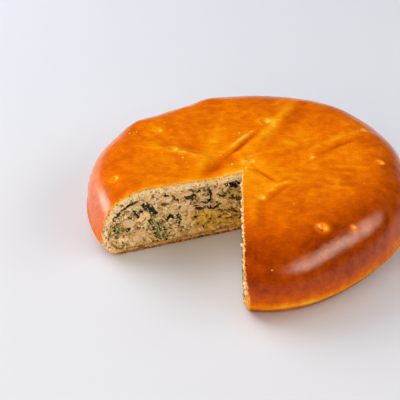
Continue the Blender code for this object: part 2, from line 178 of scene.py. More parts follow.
@dataclass
class Surface:
    """Points and squares gathered patch by patch.

    Attributes:
        points: places of each patch.
        quads: corner numbers of each patch's squares, counted from the first point of all.
        tints: linear colour of each point.
        bakes: bake level of each point, from 0 to 1.
        materials: number of each square's material.
        count: number of points so far.
    """

    points: list[np.ndarray] = field(default_factory=list)
    quads: list[np.ndarray] = field(default_factory=list)
    tints: list[np.ndarray] = field(default_factory=list)
    bakes: list[np.ndarray] = field(default_factory=list)
    materials: list[np.ndarray] = field(default_factory=list)
    count: int = 0

    def add_grid(self, points: np.ndarray, tint: np.ndarray, bake: np.ndarray | float = 0.0,
                 material: int = 0, wrap: bool = False) -> None:
        """Adds a (rows, columns, 3) grid of points, its last column joined to its first if wrapped."""
        rows, columns = points.shape[:2]
        tint = np.broadcast_to(tint, points.shape).reshape(-1, 3)
        bake = np.broadcast_to(bake, points.shape[:2]).reshape(-1)
        self.add(points.reshape(-1, 3), grid_quads(rows, columns, 0, wrap), tint, bake, material)

    def add(self, points: np.ndarray, quads: np.ndarray, tint: np.ndarray,
            bake: np.ndarray | float = 0.0, material: int = 0) -> None:
        """Adds loose points and the squares that join them, numbered from the first of them."""
        self.points.append(points)
        self.quads.append(quads + self.count)
        self.tints.append(np.broadcast_to(tint, points.shape))
        self.bakes.append(np.broadcast_to(bake, points.shape[:1]))
        self.materials.append(np.full(len(quads), material, np.int32))
        self.count += len(points)

    def add_many(self, points: np.ndarray, quads: np.ndarray, tint: np.ndarray,
                 bake: np.ndarray | float = 0.0) -> None:
        """Adds (pieces, points, 3) places of pieces that all join their points in the same way."""
        pieces, step = points.shape[:2]
        numbers = quads[None] + (np.arange(pieces) * step)[:, None, None]
        tint = np.broadcast_to(tint, points.shape).reshape(-1, 3)
        bake = np.repeat(np.broadcast_to(bake, pieces), step)
        self.add(points.reshape(-1, 3), numbers.reshape(-1, 4), tint, bake)

    def build(self, name: str, merge: float, *finishes: "GlazedCrust | Crumb") -> bpy.types.Object:
        """Makes the mesh object and dresses it.

        Args:
            name: name of the object.
            merge: distance below which points are merged.
            *finishes: its materials, in the order of their numbers.

        Returns:
            The object, with its faces turned outwards.
        """
        points = np.concatenate(self.points).astype(np.float32)
        quads = np.concatenate(self.quads).astype(np.int32)
        mesh = bpy.data.meshes.new(name)
        mesh.vertices.add(len(points))
        mesh.vertices.foreach_set("co", points.ravel())
        mesh.loops.add(quads.size)
        mesh.loops.foreach_set("vertex_index", quads.ravel())
        mesh.polygons.add(len(quads))
        mesh.polygons.foreach_set("loop_start", np.arange(0, quads.size, 4, dtype=np.int32))
        mesh.polygons.foreach_set("material_index", np.concatenate(self.materials))
        mesh.update(calc_edges=True)
        tints = np.insert(np.concatenate(self.tints), 3, 1.0, axis=1).astype(np.float32)
        mesh.attributes.new("tint", "FLOAT_COLOR", "POINT").data.foreach_set("color", tints.ravel())
        bakes = np.concatenate(self.bakes).astype(np.float32)
        mesh.attributes.new("bake", "FLOAT", "POINT").data.foreach_set("value", bakes)
        shape = bmesh.new()
        shape.from_mesh(mesh)
        bmesh.ops.remove_doubles(shape, verts=shape.verts, dist=merge)
        bmesh.ops.dissolve_degenerate(shape, edges=shape.edges, dist=merge / 10)
        bmesh.ops.recalc_face_normals(shape, faces=shape.faces)
        shape.to_mesh(mesh)
        shape.free()
        mesh.shade_smooth()
        for finish in finishes:
            mesh.materials.append(finish.build())
        obj = bpy.data.objects.new(name, mesh)
        bpy.context.scene.collection.objects.link(obj)
        return obj


@dataclass(frozen=True)
class Fold:
    """A ridge or groove of the top sheet of dough along a bent line.

    Attributes:
        start, bend, end: places in plan, in mm; the line is a quadratic curve bent towards bend.
        height: height of a ridge, or below zero the depth of a groove, in mm.
        half_width: distance in mm at which the relief has fallen to a third.
    """

    start: tuple[float, float]
    bend: tuple[float, float]
    end: tuple[float, float]
    height: float
    half_width: float


FOLDS = (
    Fold((-9, 13), (22, 50), (38, 98), 1.9, 4.5),
    Fold((-24, 14), (-8, 34), (7, 49), 1.4, 3.8),
    Fold((-80, 35), (-79, 24), (-72, 18), 1.3, 3.8),
    Fold((-75, 19), (-53, 19), (-31, 5), 1.5, 4.2),
    Fold((-35, 9), (-40, -6), (-48, -26), 1.8, 5.5),
    Fold((-9, 13), (-5, 2), (-3, -12), 1.2, 4.0),
    Fold((5, -52), (15, -36), (36, -23), 1.4, 3.8),
    Fold((0, -54), (0, -70), (0, -88), 1.4, 4.2),
    Fold((57, -33), (64, -37), (72, -36), 0.8, 3.5),
    Fold((47, 18), (72, 40), (100, 47), 1.5, 3.8),
    Fold((73, 1), (87, 8), (101, 7), 0.9, 3.5),
    Fold((-23, 7), (-8, 28), (8, 46), -1.5, 3.5),
    Fold((-24, 6), (-28, -4), (-36, -19), -1.8, 4.5),
    Fold((3, -9), (10, -17), (17, -27), -1.2, 3.5),
    Fold((12, -53), (20, -38), (31, -30), -1.3, 3.6),
    Fold((7, -55), (7, -70), (5, -86), -1.4, 3.8),
    Fold((52, 11), (70, 28), (93, 40), -1.2, 3.6),
    Fold((15, 5), (30, 14), (45, 24), -0.9, 6.0),
    Fold((24, 44), (39, 62), (48, 96), -1.3, 5.5),
    Fold((-46, 24), (-60, 29), (-74, 32), -1.0, 6.0),
)

RIDGES = tuple(fold for fold in FOLDS if fold.height > 0)
GROOVES = tuple(fold for fold in FOLDS if fold.height < 0)

# Finer wrinkles and creases, too narrow for the solids.
WRINKLES = (
    Fold((3, -9), (10, -17), (18, -28), -0.9, 1.4),
    Fold((5, -7), (13, -16), (21, -25), 0.5, 2.4),
    Fold((-21, 8), (-6, 29), (11, 53), -1.3, 1.4),
    Fold((-18, 20), (-5, 37), (6, 53), 1.0, 2.0),
    Fold((-22, 4), (-25, -3), (-30, -12), -0.8, 4.5),
    Fold((-10, 13), (-22, 20), (-36, 22), 0.5, 2.0),
    Fold((-3, 8), (8, 16), (26, 19), 0.6, 2.2),
    Fold((-8, -1), (-16, -1), (-24, -5), 0.5, 1.8),
    Fold((53, 12), (73, 29), (92, 38), -0.6, 1.6),
    Fold((72, 12), (88, 18), (106, 20), 0.5, 2.0),
    Fold((60, -6), (80, -4), (100, -8), 0.4, 2.4),
    Fold((-74, 17), (-62, 14), (-50, 15), 0.5, 1.8),
    Fold((-92, 24), (-84, 20), (-76, 19), 0.5, 2.0),
    Fold((12, -53), (21, -39), (32, -30), -0.6, 1.7),
    Fold((20, -34), (28, -30), (44, -28), 0.5, 2.0),
    Fold((64, -36), (66, -29), (67, -22), 0.7, 1.8),
    Fold((64, -36), (72, -38), (80, -36), 0.6, 1.8),
    Fold((30, 66), (44, 84), (52, 104), -0.5, 2.2),
    Fold((-30, 30), (-24, 52), (-22, 78), 0.4, 3.0),
    Fold((70, 50), (84, 62), (92, 70), 0.4, 2.6),
)


@dataclass(frozen=True)
class SteamHole:
    """A dimple pricked in the top, with a small deep hole at its bottom.

    Attributes:
        x, y: its place in plan, in mm.
        radius: radius in mm of the ball that pressed it.
        dark: from 0 to 1, how deep its hole goes and how dark the painted shade in it is.
    """

    x: float
    y: float
    radius: float
    dark: float


STEAM_HOLES = (
    SteamHole(-62, 20, 4.0, 0.8),
    SteamHole(13, 65, 4.2, 0.9),
    SteamHole(-75, 48, 3.2, 0.3),
    SteamHole(-107, -20, 3.0, 0.5),
    SteamHole(47, 8, 3.4, 0.3),
    SteamHole(93, 52, 3.0, 0.2),
    SteamHole(102, 2, 3.0, 0.3),
    SteamHole(0, 3, 2.6, 0.1),
    SteamHole(6, -51, 2.6, 0.1),
    SteamHole(49, -89, 4.2, 1.0),
    SteamHole(73, -82, 2.2, 0.3),
)


@dataclass(frozen=True)
class PieForm:
    """The pie's outer form and the room inside its crust, as the solids have them.

    Attributes:
        widest_radius, widest_height: radius and height of the widest place of the side.
        height: height of the flat top without its relief.
        foot_radius: radius of the base.
        flat_radius: radius at which the flat top turns into the shoulder.
        shoulder_power: power of the shoulder's superellipse.
        centre_dip, dip_reach: depth of the dip in the middle, and the radii between which it ends.
        seam_height, seam_reach, seam_half_width: place and size of the ridge round the foot.
        hole_depth: depth of a dimple as a share of the ball that pressed it.
        ridge_share, groove_share, wrinkle_share: how much of each kind of fold is shaped.
        upper_heights: shares of the height between which the top's relief begins.
        rim_waves: for each wave round the rim, its number and its cosine and sine parts.
        swells: for each broad wave of the top, its direction, length, height and phase.
        swollen_places: for each swollen place, its x, y, height and half width in mm.
        unevenness: for each noise of the top, its height, cell and seed.
        top_dough, side_dough, base_dough: thickness of the dough.
        tip: the removed wedge's tip in plan.
    """

    widest_radius: float = 130 * MM
    height: float = 55 * MM
    foot_radius: float = 114 * MM
    widest_height: float = 18 * MM
    flat_radius: float = 92 * MM
    shoulder_power: float = 2.2
    centre_dip: float = 1.2 * MM
    dip_reach: tuple[float, float] = (20 * MM, 75 * MM)
    seam_height: float = 13 * MM
    seam_reach: float = 1.6 * MM
    seam_half_width: float = 1.8 * MM
    hole_depth: float = 0.6
    ridge_share: float = 0.8
    groove_share: float = 0.45
    wrinkle_share: float = 0.6
    upper_heights: tuple[float, float] = (0.55, 0.88)
    rim_waves: tuple[tuple[float, float, float], ...] = (
        (1, 1.5 * MM, 4.1 * MM),
        (2, -0.7 * MM, 2.0 * MM),
        (3, -3.2 * MM, 1.8 * MM),
        (4, 1.6 * MM, -0.3 * MM),
        (5, 0.6 * MM, 0.2 * MM),
        (6, -1.1 * MM, -0.6 * MM),
    )
    swells: tuple[tuple[float, float, float, float], ...] = (
        (20, 95 * MM, 0.45 * MM, 0.5),
        (110, 70 * MM, 0.35 * MM, 1.9),
        (65, 48 * MM, 0.25 * MM, 4.0),
        (160, 120 * MM, 0.40 * MM, 2.7),
    )
    swollen_places: tuple[tuple[float, float, float, float], ...] = (
        (-93, 67, 3.7, 16), (-34, 108, 2.2, 16), (-68, 90, 2.2, 18),
    )
    unevenness: tuple[tuple[float, float, int], ...] = (
        (0.22 * MM, 9 * MM, 51),
        (0.10 * MM, 4 * MM, 52),
    )
    top_dough: float = 6.5 * MM
    side_dough: float = 5 * MM
    base_dough: float = 3.5 * MM
    tip: tuple[float, float] = (-6.5 * MM, -13.5 * MM)

    def rim_factor(self, angle: np.ndarray) -> np.ndarray:
        """How much wider or narrower than the turned form the pie is at an angle: a sum of waves."""
        waves = sum(c * np.cos(n * angle) + s * np.sin(n * angle) for n, c, s in self.rim_waves)
        return 1 + waves / self.widest_radius

    def middle(self) -> np.ndarray:
        """Middle of the rim's bounding box, which the solids have over the origin."""
        angle = np.radians(np.arange(360))
        radius = self.widest_radius * self.rim_factor(angle)
        x, y = radius * np.cos(angle), radius * np.sin(angle)
        return np.array([(x.min() + x.max()) / 2, (y.min() + y.max()) / 2, 0.0])

    def reach(self, turn: np.ndarray, radius: np.ndarray, tip: np.ndarray) -> np.ndarray:
        """Distance from the wedge's tip to the uneven outline of a turned radius, along a direction.

        The line from the tip meets a circle where |tip + d| equals its radius. The radius is then
        corrected for the outline at the place found, four times over.
        """
        dx, dy = np.cos(turn), np.sin(turn)
        along = tip[0] * dx + tip[1] * dy
        short = tip[0] ** 2 + tip[1] ** 2
        target = radius + 0 * turn
        for _ in range(4):
            distance = -along + np.sqrt(np.maximum(along**2 + target**2 - short, 0.0))
            x, y = tip[0] + distance * dx, tip[1] + distance * dy
            target = radius * self.rim_factor(np.arctan2(y, x))
        return distance

    def fold_relief(self, x: np.ndarray, y: np.ndarray, folds: tuple[Fold, ...]) -> np.ndarray:
        """Height of the folds: each falls off as exp(-(distance / half width)^2) from its line."""
        samples = np.linspace(0, 1, 41)
        fade = np.sin(math.pi * (0.12 + 0.76 * samples))
        total = np.zeros(x.shape)
        for fold in folds:
            weights = np.stack([(1 - samples) ** 2, 2 * samples * (1 - samples), samples**2])
            line = (np.array([fold.start, fold.bend, fold.end]).T @ weights) * MM
            gap = np.hypot(x[..., None] - line[0], y[..., None] - line[1])
            nearest = gap.argmin(axis=-1)
            share = np.take_along_axis(gap, nearest[..., None], -1)[..., 0] / (fold.half_width * MM)
            total += fold.height * MM * fade[nearest] * np.exp(-(share**2))
        return total

    def broad_relief(self, x: np.ndarray, y: np.ndarray) -> np.ndarray:
        """Broad swells, a sum of plane waves, with the swollen places and the dip in the middle."""
        total = -self.centre_dip * (1 - smoothstep(*self.dip_reach, np.hypot(x, y)))
        for degrees, length, height, phase in self.swells:
            along = x * math.cos(math.radians(degrees)) + y * math.sin(math.radians(degrees))
            total = total + height * np.sin(2 * math.pi * along / length + phase)
        for place_x, place_y, height, half_width in self.swollen_places:
            share = np.hypot(x - place_x * MM, y - place_y * MM) / (half_width * MM)
            total = total + height * MM * np.exp(-(share**2))
        return total

    def dimple(self, x: np.ndarray, y: np.ndarray, spread: float) -> np.ndarray:
        """Depth of the steam holes' dimples: a bell of the pressed ball's width times spread."""
        total = np.zeros(x.shape)
        for hole in STEAM_HOLES:
            share = np.hypot(x - hole.x * MM, y - hole.y * MM) / (hole.radius * MM * spread)
            total += self.hole_depth * hole.radius * MM * np.exp(-(share**3))
        return total

    def skin_relief(self, x: np.ndarray, y: np.ndarray) -> np.ndarray:
        """All that the folds, wrinkles, swells and fine unevenness add to the height of the top."""
        place = np.stack([x, y, 0 * x], axis=-1)
        uneven = sum(height * value_noise(place, cell, seed) for height, cell, seed in self.unevenness)
        shares = (self.ridge_share, self.groove_share, self.wrinkle_share)
        kinds = zip(shares, (RIDGES, GROOVES, WRINKLES))
        folded = sum(share * self.fold_relief(x, y, folds) for share, folds in kinds)
        return folded + self.broad_relief(x, y) + uneven

    def top_height(self, x: np.ndarray, y: np.ndarray) -> np.ndarray:
        """Height of the outer surface at a place on the top or shoulder, without steam holes."""
        radius = np.hypot(x, y) / self.rim_factor(np.arctan2(y, x))
        across = np.clip((radius - self.flat_radius) / (self.widest_radius - self.flat_radius), 0, 1)
        rise = (1 - across**self.shoulder_power) ** (1 / self.shoulder_power)
        plain = self.widest_height + (self.height - self.widest_height) * rise
        return plain + self.skin_relief(x, y) * self.upper_share(plain)

    def upper_share(self, z: np.ndarray) -> np.ndarray:
        """0 on the flank, 1 near the top: how much of the top's relief a height takes."""
        return smoothstep(*(share * self.height for share in self.upper_heights), z)

    def room_radius(self, z: np.ndarray, inset: float, low: float, high: float) -> np.ndarray:
        """Radius of the turned form drawn in by an inset, at a height between low and high.

        Above the widest place it is the shoulder's superellipse, and below it the flank's ellipse.
        """
        climb = np.clip((z - self.widest_height) / (high - self.widest_height), 0, 1)
        across = (1 - climb**self.shoulder_power) ** (1 / self.shoulder_power)
        upper = self.flat_radius + (self.widest_radius - self.flat_radius) * across
        fall = np.clip((self.widest_height - z) / (self.widest_height - low), 0, 1)
        lower = self.foot_radius + (self.widest_radius - self.foot_radius) * np.sqrt(1 - fall**2)
        return np.where(z > self.widest_height, upper, lower) - inset

    def shoulder(self, across: np.ndarray, inset: float, drop: float) -> tuple[np.ndarray, np.ndarray]:
        """Radius and height down the shoulder, a superellipse: x^p + z^p = 1.

        Args:
            across: 0 at the flat top to 1 at the widest place.
            inset: how far inside the outer side.
            drop: how far below the outer top.
        """
        turn = math.pi / 2 * (1 - across)
        power = 2 / self.shoulder_power
        flat = self.flat_radius - inset
        radius = flat + (self.widest_radius - self.flat_radius) * np.maximum(np.cos(turn), 0) ** power
        rise = np.maximum(np.sin(turn), 0) ** power
        return radius, self.widest_height + (self.height - drop - self.widest_height) * rise

    def flank(self, down: np.ndarray, inset: float, lift: float) -> tuple[np.ndarray, np.ndarray]:
        """Radius and height from the widest place in under the foot: a quarter ellipse.

        Args:
            down: 0 at the widest place to 1 at the foot.
            inset: how far inside the outer side.
            lift: how far above the outer base.
        """
        turn = math.pi / 2 * down
        foot, widest = self.foot_radius - inset, self.widest_radius - inset
        radius = foot + (widest - foot) * np.cos(turn)
        return radius, self.widest_height - (self.widest_height - lift) * np.sin(turn)


def node(tree: bpy.types.NodeTree, kind: str, settings: dict | None = None, **links) -> bpy.types.Node:
    """Adds a shader node.

    Args:
        tree: the material's node tree.
        kind: the node's type name.
        settings: properties of the node, such as an operation.
        **links: inputs by name, with _ for a space and in_N for input N; a value is set, and an
            output socket is linked.

    Returns:
        The new node.
    """
    made = tree.nodes.new(kind)
    for name, value in (settings or {}).items():
        setattr(made, name, value)
    for name, value in links.items():
        key = int(name[3:]) if name.startswith("in_") else name.replace("_", " ")
        socket = made.inputs[key]
        if isinstance(value, bpy.types.NodeSocket):
            tree.links.new(value, socket)
        else:
            socket.default_value = value
    return made


def ramp(tree: bpy.types.NodeTree, factor: bpy.types.NodeSocket, stops: tuple) -> bpy.types.NodeSocket:
    """Adds a colour ramp.

    Args:
        tree: the material's node tree.
        factor: socket that drives it.
        stops: pairs of place and hex colour.

    Returns:
        Its colour socket.
    """
    made = node(tree, "ShaderNodeValToRGB", Fac=factor)
    elements = made.color_ramp.elements
    while len(elements) < len(stops):
        elements.new(0.5)
    for element, (place, colour) in zip(elements, stops):
        element.position = place
        element.color = linear(colour)
    return made.outputs["Color"]


def noise(tree: bpy.types.NodeTree, place: bpy.types.NodeSocket, size: float, detail: float,
          roughness: float = 0.5) -> bpy.types.Node:
    """Adds a noise texture whose broadest features are about a size in metres."""
    return node(tree, "ShaderNodeTexNoise", Vector=place, Scale=1 / size, Detail=detail,
                Roughness=roughness)


def multiply_add(tree: bpy.types.NodeTree, value: bpy.types.NodeSocket, by: float,
                 plus: bpy.types.NodeSocket) -> bpy.types.NodeSocket:
    """Adds a node for value * by + plus."""
    made = node(tree, "ShaderNodeMath", {"operation": "MULTIPLY_ADD"}, in_0=value, in_1=by, in_2=plus)
    return made.outputs[0]


def map_range(tree: bpy.types.NodeTree, value: bpy.types.NodeSocket, source: tuple[float, float],
              target: tuple[float, float]) -> bpy.types.NodeSocket:
    """Adds a node that maps the source range to the target range and holds its ends."""
    made = node(tree, "ShaderNodeMapRange", Value=value, From_Min=source[0], From_Max=source[1],
                To_Min=target[0], To_Max=target[1])
    return made.outputs["Result"]


def new_material(name: str) -> tuple[bpy.types.Material, bpy.types.NodeTree, bpy.types.Node]:
    """A material with its node tree and its Principled shader."""
    material = bpy.data.materials.new(name)
    material.use_nodes = True
    return material, material.node_tree, material.node_tree.nodes["Principled BSDF"]


def tint_of(hex_colour: str) -> np.ndarray:
    """A hex colour as linear red, green and blue."""
    return np.array(linear(hex_colour)[:3])


def random_tints(hexes: tuple[str, ...], chooser: np.ndarray) -> np.ndarray:
    """One of the hex colours, linear, for each number from 0 to 1."""
    palette = np.array([tint_of(c) for c in hexes])
    return palette[np.minimum((chooser * len(palette)).astype(int), len(palette) - 1)]


def blend(first: np.ndarray, second: np.ndarray, share: np.ndarray) -> np.ndarray:
    """Mixes two colours by a share that has one number for each place."""
    return first + (second - first) * share[..., None]


@dataclass(frozen=True)
class GlazedCrust:
    """Yeast dough brushed with beaten egg and baked: deep amber, glossy, and streaked by the brush.

    The egg film gives the eye a sharp reflection over a soft, saturated orange to red-brown body.

    Attributes:
        name: name of the material.
        bake_stops: colours along the bake level.
        streak_width, streak_length: size of the brush's streaks.
        streak_turn: direction of the streaks in plan, in degrees.
        bend_size, bend_shift: size of the waves that bend the streaks, and how far they shift them.
        mottle_size, freckle_size: sizes of the broad mottling and of the freckles.
        streak_strength, mottle_strength, freckle_strength: how much of the bake level each changes.
        pore_size: size of the pores in the bump.
        streak_relief: depth of the streaks in the bump, as a share of the pores' depth.
        dough_bump, glaze_bump: height of the bump on the dough and on the glaze over it.
        glaze_heights, flank_glaze: heights between which the glaze grows to full strength, and its
            strength below them.
        shade_heights, foot_shade: heights between which the skin grows to full brightness, and its
        brightness below them, near the tray: a painted shade under the bulge of the side.
        settings: the shader's own constants.
    """

    name: str = "egg_glazed_crust"
    bake_stops: tuple[tuple[float, str], ...] = (
        (0.0, "#FFE9AC"),
        (0.08, "#FFCE46"),
        (0.22, "#FD9C02"),
        (0.42, "#EE7400"),
        (0.62, "#CE5800"),
        (0.84, "#A84000"),
        (1.0, "#7C2A00"),
    )
    streak_width: float = 1.5 * MM
    streak_length: float = 15 * MM
    streak_turn: float = 7.0
    streak_strength: float = 0.30
    bend_size: float = 30 * MM
    bend_shift: float = 14 * MM
    mottle_size: float = 8 * MM
    mottle_strength: float = 0.40
    freckle_size: float = 2.2 * MM
    freckle_strength: float = 0.22
    pore_size: float = 1.1 * MM
    streak_relief: float = 0.3
    dough_bump: float = 0.32 * MM
    glaze_bump: float = 0.27 * MM
    glaze_heights: tuple[float, float] = (8 * MM, 32 * MM)
    flank_glaze: float = 0.15
    shade_heights: tuple[float, float] = (5 * MM, 20 * MM)
    foot_shade: float = 0.60
    settings: tuple[tuple[str, float], ...] = (
        ("Roughness", 0.5),
        ("Specular IOR Level", 0.0),
        ("Coat Roughness", 0.07),
        ("Coat IOR", 1.3),
    )

    def streaks(self, tree: bpy.types.NodeTree, place: bpy.types.NodeSocket) -> bpy.types.NodeSocket:
        """Adds the brush's streaks: noise stretched along one direction and bent by broad waves."""
        wave = noise(tree, place, self.bend_size, 1.0).outputs["Color"]
        bent = node(tree, "ShaderNodeVectorMath", {"operation": "MULTIPLY_ADD"},
                    in_0=wave, in_1=(0, self.bend_shift, 0), in_2=place).outputs[0]
        stretched = node(
            tree, "ShaderNodeMapping", Vector=bent, Rotation=(0, 0, -math.radians(self.streak_turn)),
            Scale=(1 / self.streak_length, 1 / self.streak_width, 1 / self.streak_width),
        ).outputs["Vector"]
        return noise(tree, stretched, 1.0, 4.0, 0.65).outputs["Fac"]

    def build(self) -> bpy.types.Material:
        """The material: the bake level, changed by streaks and mottling, drives the colour."""
        if self.name in bpy.data.materials:
            return bpy.data.materials[self.name]
        material, tree, shader = new_material(self.name)
        place = node(tree, "ShaderNodeTexCoord").outputs["Object"]
        up = node(tree, "ShaderNodeSeparateXYZ", Vector=place).outputs["Z"]
        streak = self.streaks(tree, place)
        mottle = noise(tree, place, self.mottle_size, 5.0, 0.6).outputs["Fac"]
        freckle = noise(tree, place, self.freckle_size, 3.0, 0.6).outputs["Fac"]
        patterns = ((streak, self.streak_strength), (mottle, self.mottle_strength),
                    (freckle, self.freckle_strength))
        level = node(tree, "ShaderNodeAttribute", {"attribute_name": "bake"}).outputs["Fac"]
        for pattern, strength in patterns:
            level = multiply_add(tree, pattern, strength, level)
        half = sum(strength for _, strength in patterns) / 2
        level = node(tree, "ShaderNodeMath", {"operation": "SUBTRACT"},
                     in_0=level, in_1=half).outputs[0]
        # Painted shade: the skin's colour darkens towards the tray, under the bulge of the side.
        shade = map_range(tree, up, self.shade_heights, (self.foot_shade, 1.0))
        colour = node(tree, "ShaderNodeVectorMath", {"operation": "MULTIPLY"},
                      in_0=ramp(tree, level, self.bake_stops), in_1=shade).outputs[0]
        tree.links.new(colour, shader.inputs["Base Color"])
        glaze = map_range(tree, up, self.glaze_heights, (self.flank_glaze, 1.0))
        tree.links.new(glaze, shader.inputs["Coat Weight"])
        pores = noise(tree, place, self.pore_size, 3.0, 0.6).outputs["Fac"]
        skin = multiply_add(tree, streak, self.streak_relief, pores)
        for socket, distance in (("Normal", self.dough_bump), ("Coat Normal", self.glaze_bump)):
            bump = node(tree, "ShaderNodeBump", Height=skin, Strength=0.6, Distance=distance)
            tree.links.new(bump.outputs["Normal"], shader.inputs[socket])
        for socket, value in self.settings:
            shader.inputs[socket].default_value = value
        return material


@dataclass(frozen=True)
class Crumb:
    """Cooked food seen cut or torn: its own tint, broken up by a fine grain, dull or moist.

    Attributes:
        name: name of the material.
        grain_size: size of the finest grain, drawn coarser than life where it would not show.
        grain_share: how strongly the grain darkens the tint.
        grain_depth: height of the grain's bump.
        roughness: how dull the piece is.
        grain_span: values of the noise between which the grain goes from darkest to lightest.
        shine: strength of its reflection.
    """

    name: str
    grain_size: float
    grain_share: float
    grain_depth: float
    roughness: float
    grain_span: tuple[float, float] = (0.3, 0.7)
    shine: float = 0.2

    def build(self) -> bpy.types.Material:
        """The material: the tint attribute, darkened and lightened by a fine grain."""
        if self.name in bpy.data.materials:
            return bpy.data.materials[self.name]
        material, tree, shader = new_material(self.name)
        place = node(tree, "ShaderNodeTexCoord").outputs["Object"]
        tint = node(tree, "ShaderNodeAttribute", {"attribute_name": "tint"}).outputs["Color"]
        grain = noise(tree, place, self.grain_size, 4.0).outputs["Fac"]
        darkest, lightest = 1 - self.grain_share, 1 + 0.5 * self.grain_share
        shade = map_range(tree, grain, self.grain_span, (darkest, lightest))
        scaled = node(tree, "ShaderNodeVectorMath", {"operation": "SCALE"}, in_0=tint, Scale=shade)
        tree.links.new(scaled.outputs["Vector"], shader.inputs["Base Color"])
        bump = node(tree, "ShaderNodeBump", Height=grain, Strength=0.7, Distance=self.grain_depth)
        tree.links.new(bump.outputs["Normal"], shader.inputs["Normal"])
        shader.inputs["Roughness"].default_value = self.roughness
        shader.inputs["Specular IOR Level"].default_value = self.shine
        return material


EGG_GLAZE = GlazedCrust()
DOUGH_CRUMB = Crumb("dough_crumb", 0.9 * MM, 0.18, 0.4 * MM, 0.75)
CREAM_FILLING = Crumb("cream_filling", 0.8 * MM, 0.28, 0.4 * MM, 0.55)
CHICKEN_MEAT = Crumb("chicken_meat", 1.0 * MM, 0.38, 0.45 * MM, 0.55)
MUSHROOM_MEAT = Crumb("mushroom_meat", 0.8 * MM, 0.3, 0.2 * MM, 0.4)
SPINACH_LEAF = Crumb("spinach_leaf", 0.7 * MM, 0.4, 0.2 * MM, 0.35)
CREAM_CRUMB = Crumb("cream_crumbs", 0.7 * MM, 0.25, 0.2 * MM, 0.6)

# The glazed skin's colour before its bake level is drawn.
SKIN_TINT = "#F08A10"
# The brown of the base's granular underside, from dark to light and back.
BASE_TINTS = ("#6A3A10", "#8A5218", "#A86C2C", "#C08C40", "#74441A")
# The filling's body: cream sauce and minced meat. Its specks: leaf, mushroom, pepper and pale fat.
BODY_TINTS = (
    "#FBD884", "#F4CC74", "#FFE8A0", "#EEC274", "#F8D296", "#FFF2BC", "#EAC878", "#E8B860", "#FBDAA0",
)
SPECK_TINTS = ("#4A4A1C", "#6A5024", "#2E2A18", "#7A6A30", "#5A3A20", "#F2DEB0", "#F0D8A0")


@dataclass(frozen=True)
class BakePattern:
    """How brown each part of the skin is baked, on a scale from 0, pale, to 1, dark.

    Attributes:
        middle: level in the middle of the top.
        outward: what it gains towards the rim all round.
        front, shoulder: what it gains at the front, on the top and on the shoulder.
        shoulder_all_round: what the shoulder gains all round.
        right: what the right flank loses low down.
        golden_all_round, golden_front, golden_spread: what the band at the foot loses all round, and
            at its brightest, and how far that spreads round the foot, in radians.
        painted_foot_shadow: what the rim below that band gains, a painted shadow under the bulge.
        folds, creases, holes: what a whole ridge, a whole wrinkle and a hole lose; grooves gain
        it, partly as painted shade.
        tip, edge: what the place round the wedge's tip and the left cut's edge lose.
        fold_height, wrinkle_height: relief that counts as a whole ridge, and as a whole wrinkle.
        mottle: how much noise changes the level.
        limits: least and greatest level.
        flank_limit: how much lower the greatest level is on the flank.
        front_turn, right_turn, golden_turn: directions in radians in which the side is darkest, the
            right flank palest, and the golden band brightest.
    """

    middle: float = 0.36
    outward: float = 0.06
    front: float = 0.15
    shoulder: float = 0.27
    shoulder_all_round: float = 0.04
    right: float = 0.19
    golden_all_round: float = 0.10
    golden_front: float = 0.30
    golden_spread: float = 0.42
    painted_foot_shadow: float = 0.4
    folds: float = 0.15
    creases: float = 0.15
    holes: float = 0.10
    tip: float = 0.11
    edge: float = 0.26
    fold_height: float = 1.6 * MM
    wrinkle_height: float = 0.8 * MM
    mottle: float = 0.07
    limits: tuple[float, float] = (0.12, 1.0)
    flank_limit: float = 0.24
    front_turn: float = math.radians(-62)
    right_turn: float = math.radians(-15)
    golden_turn: float = -1.32


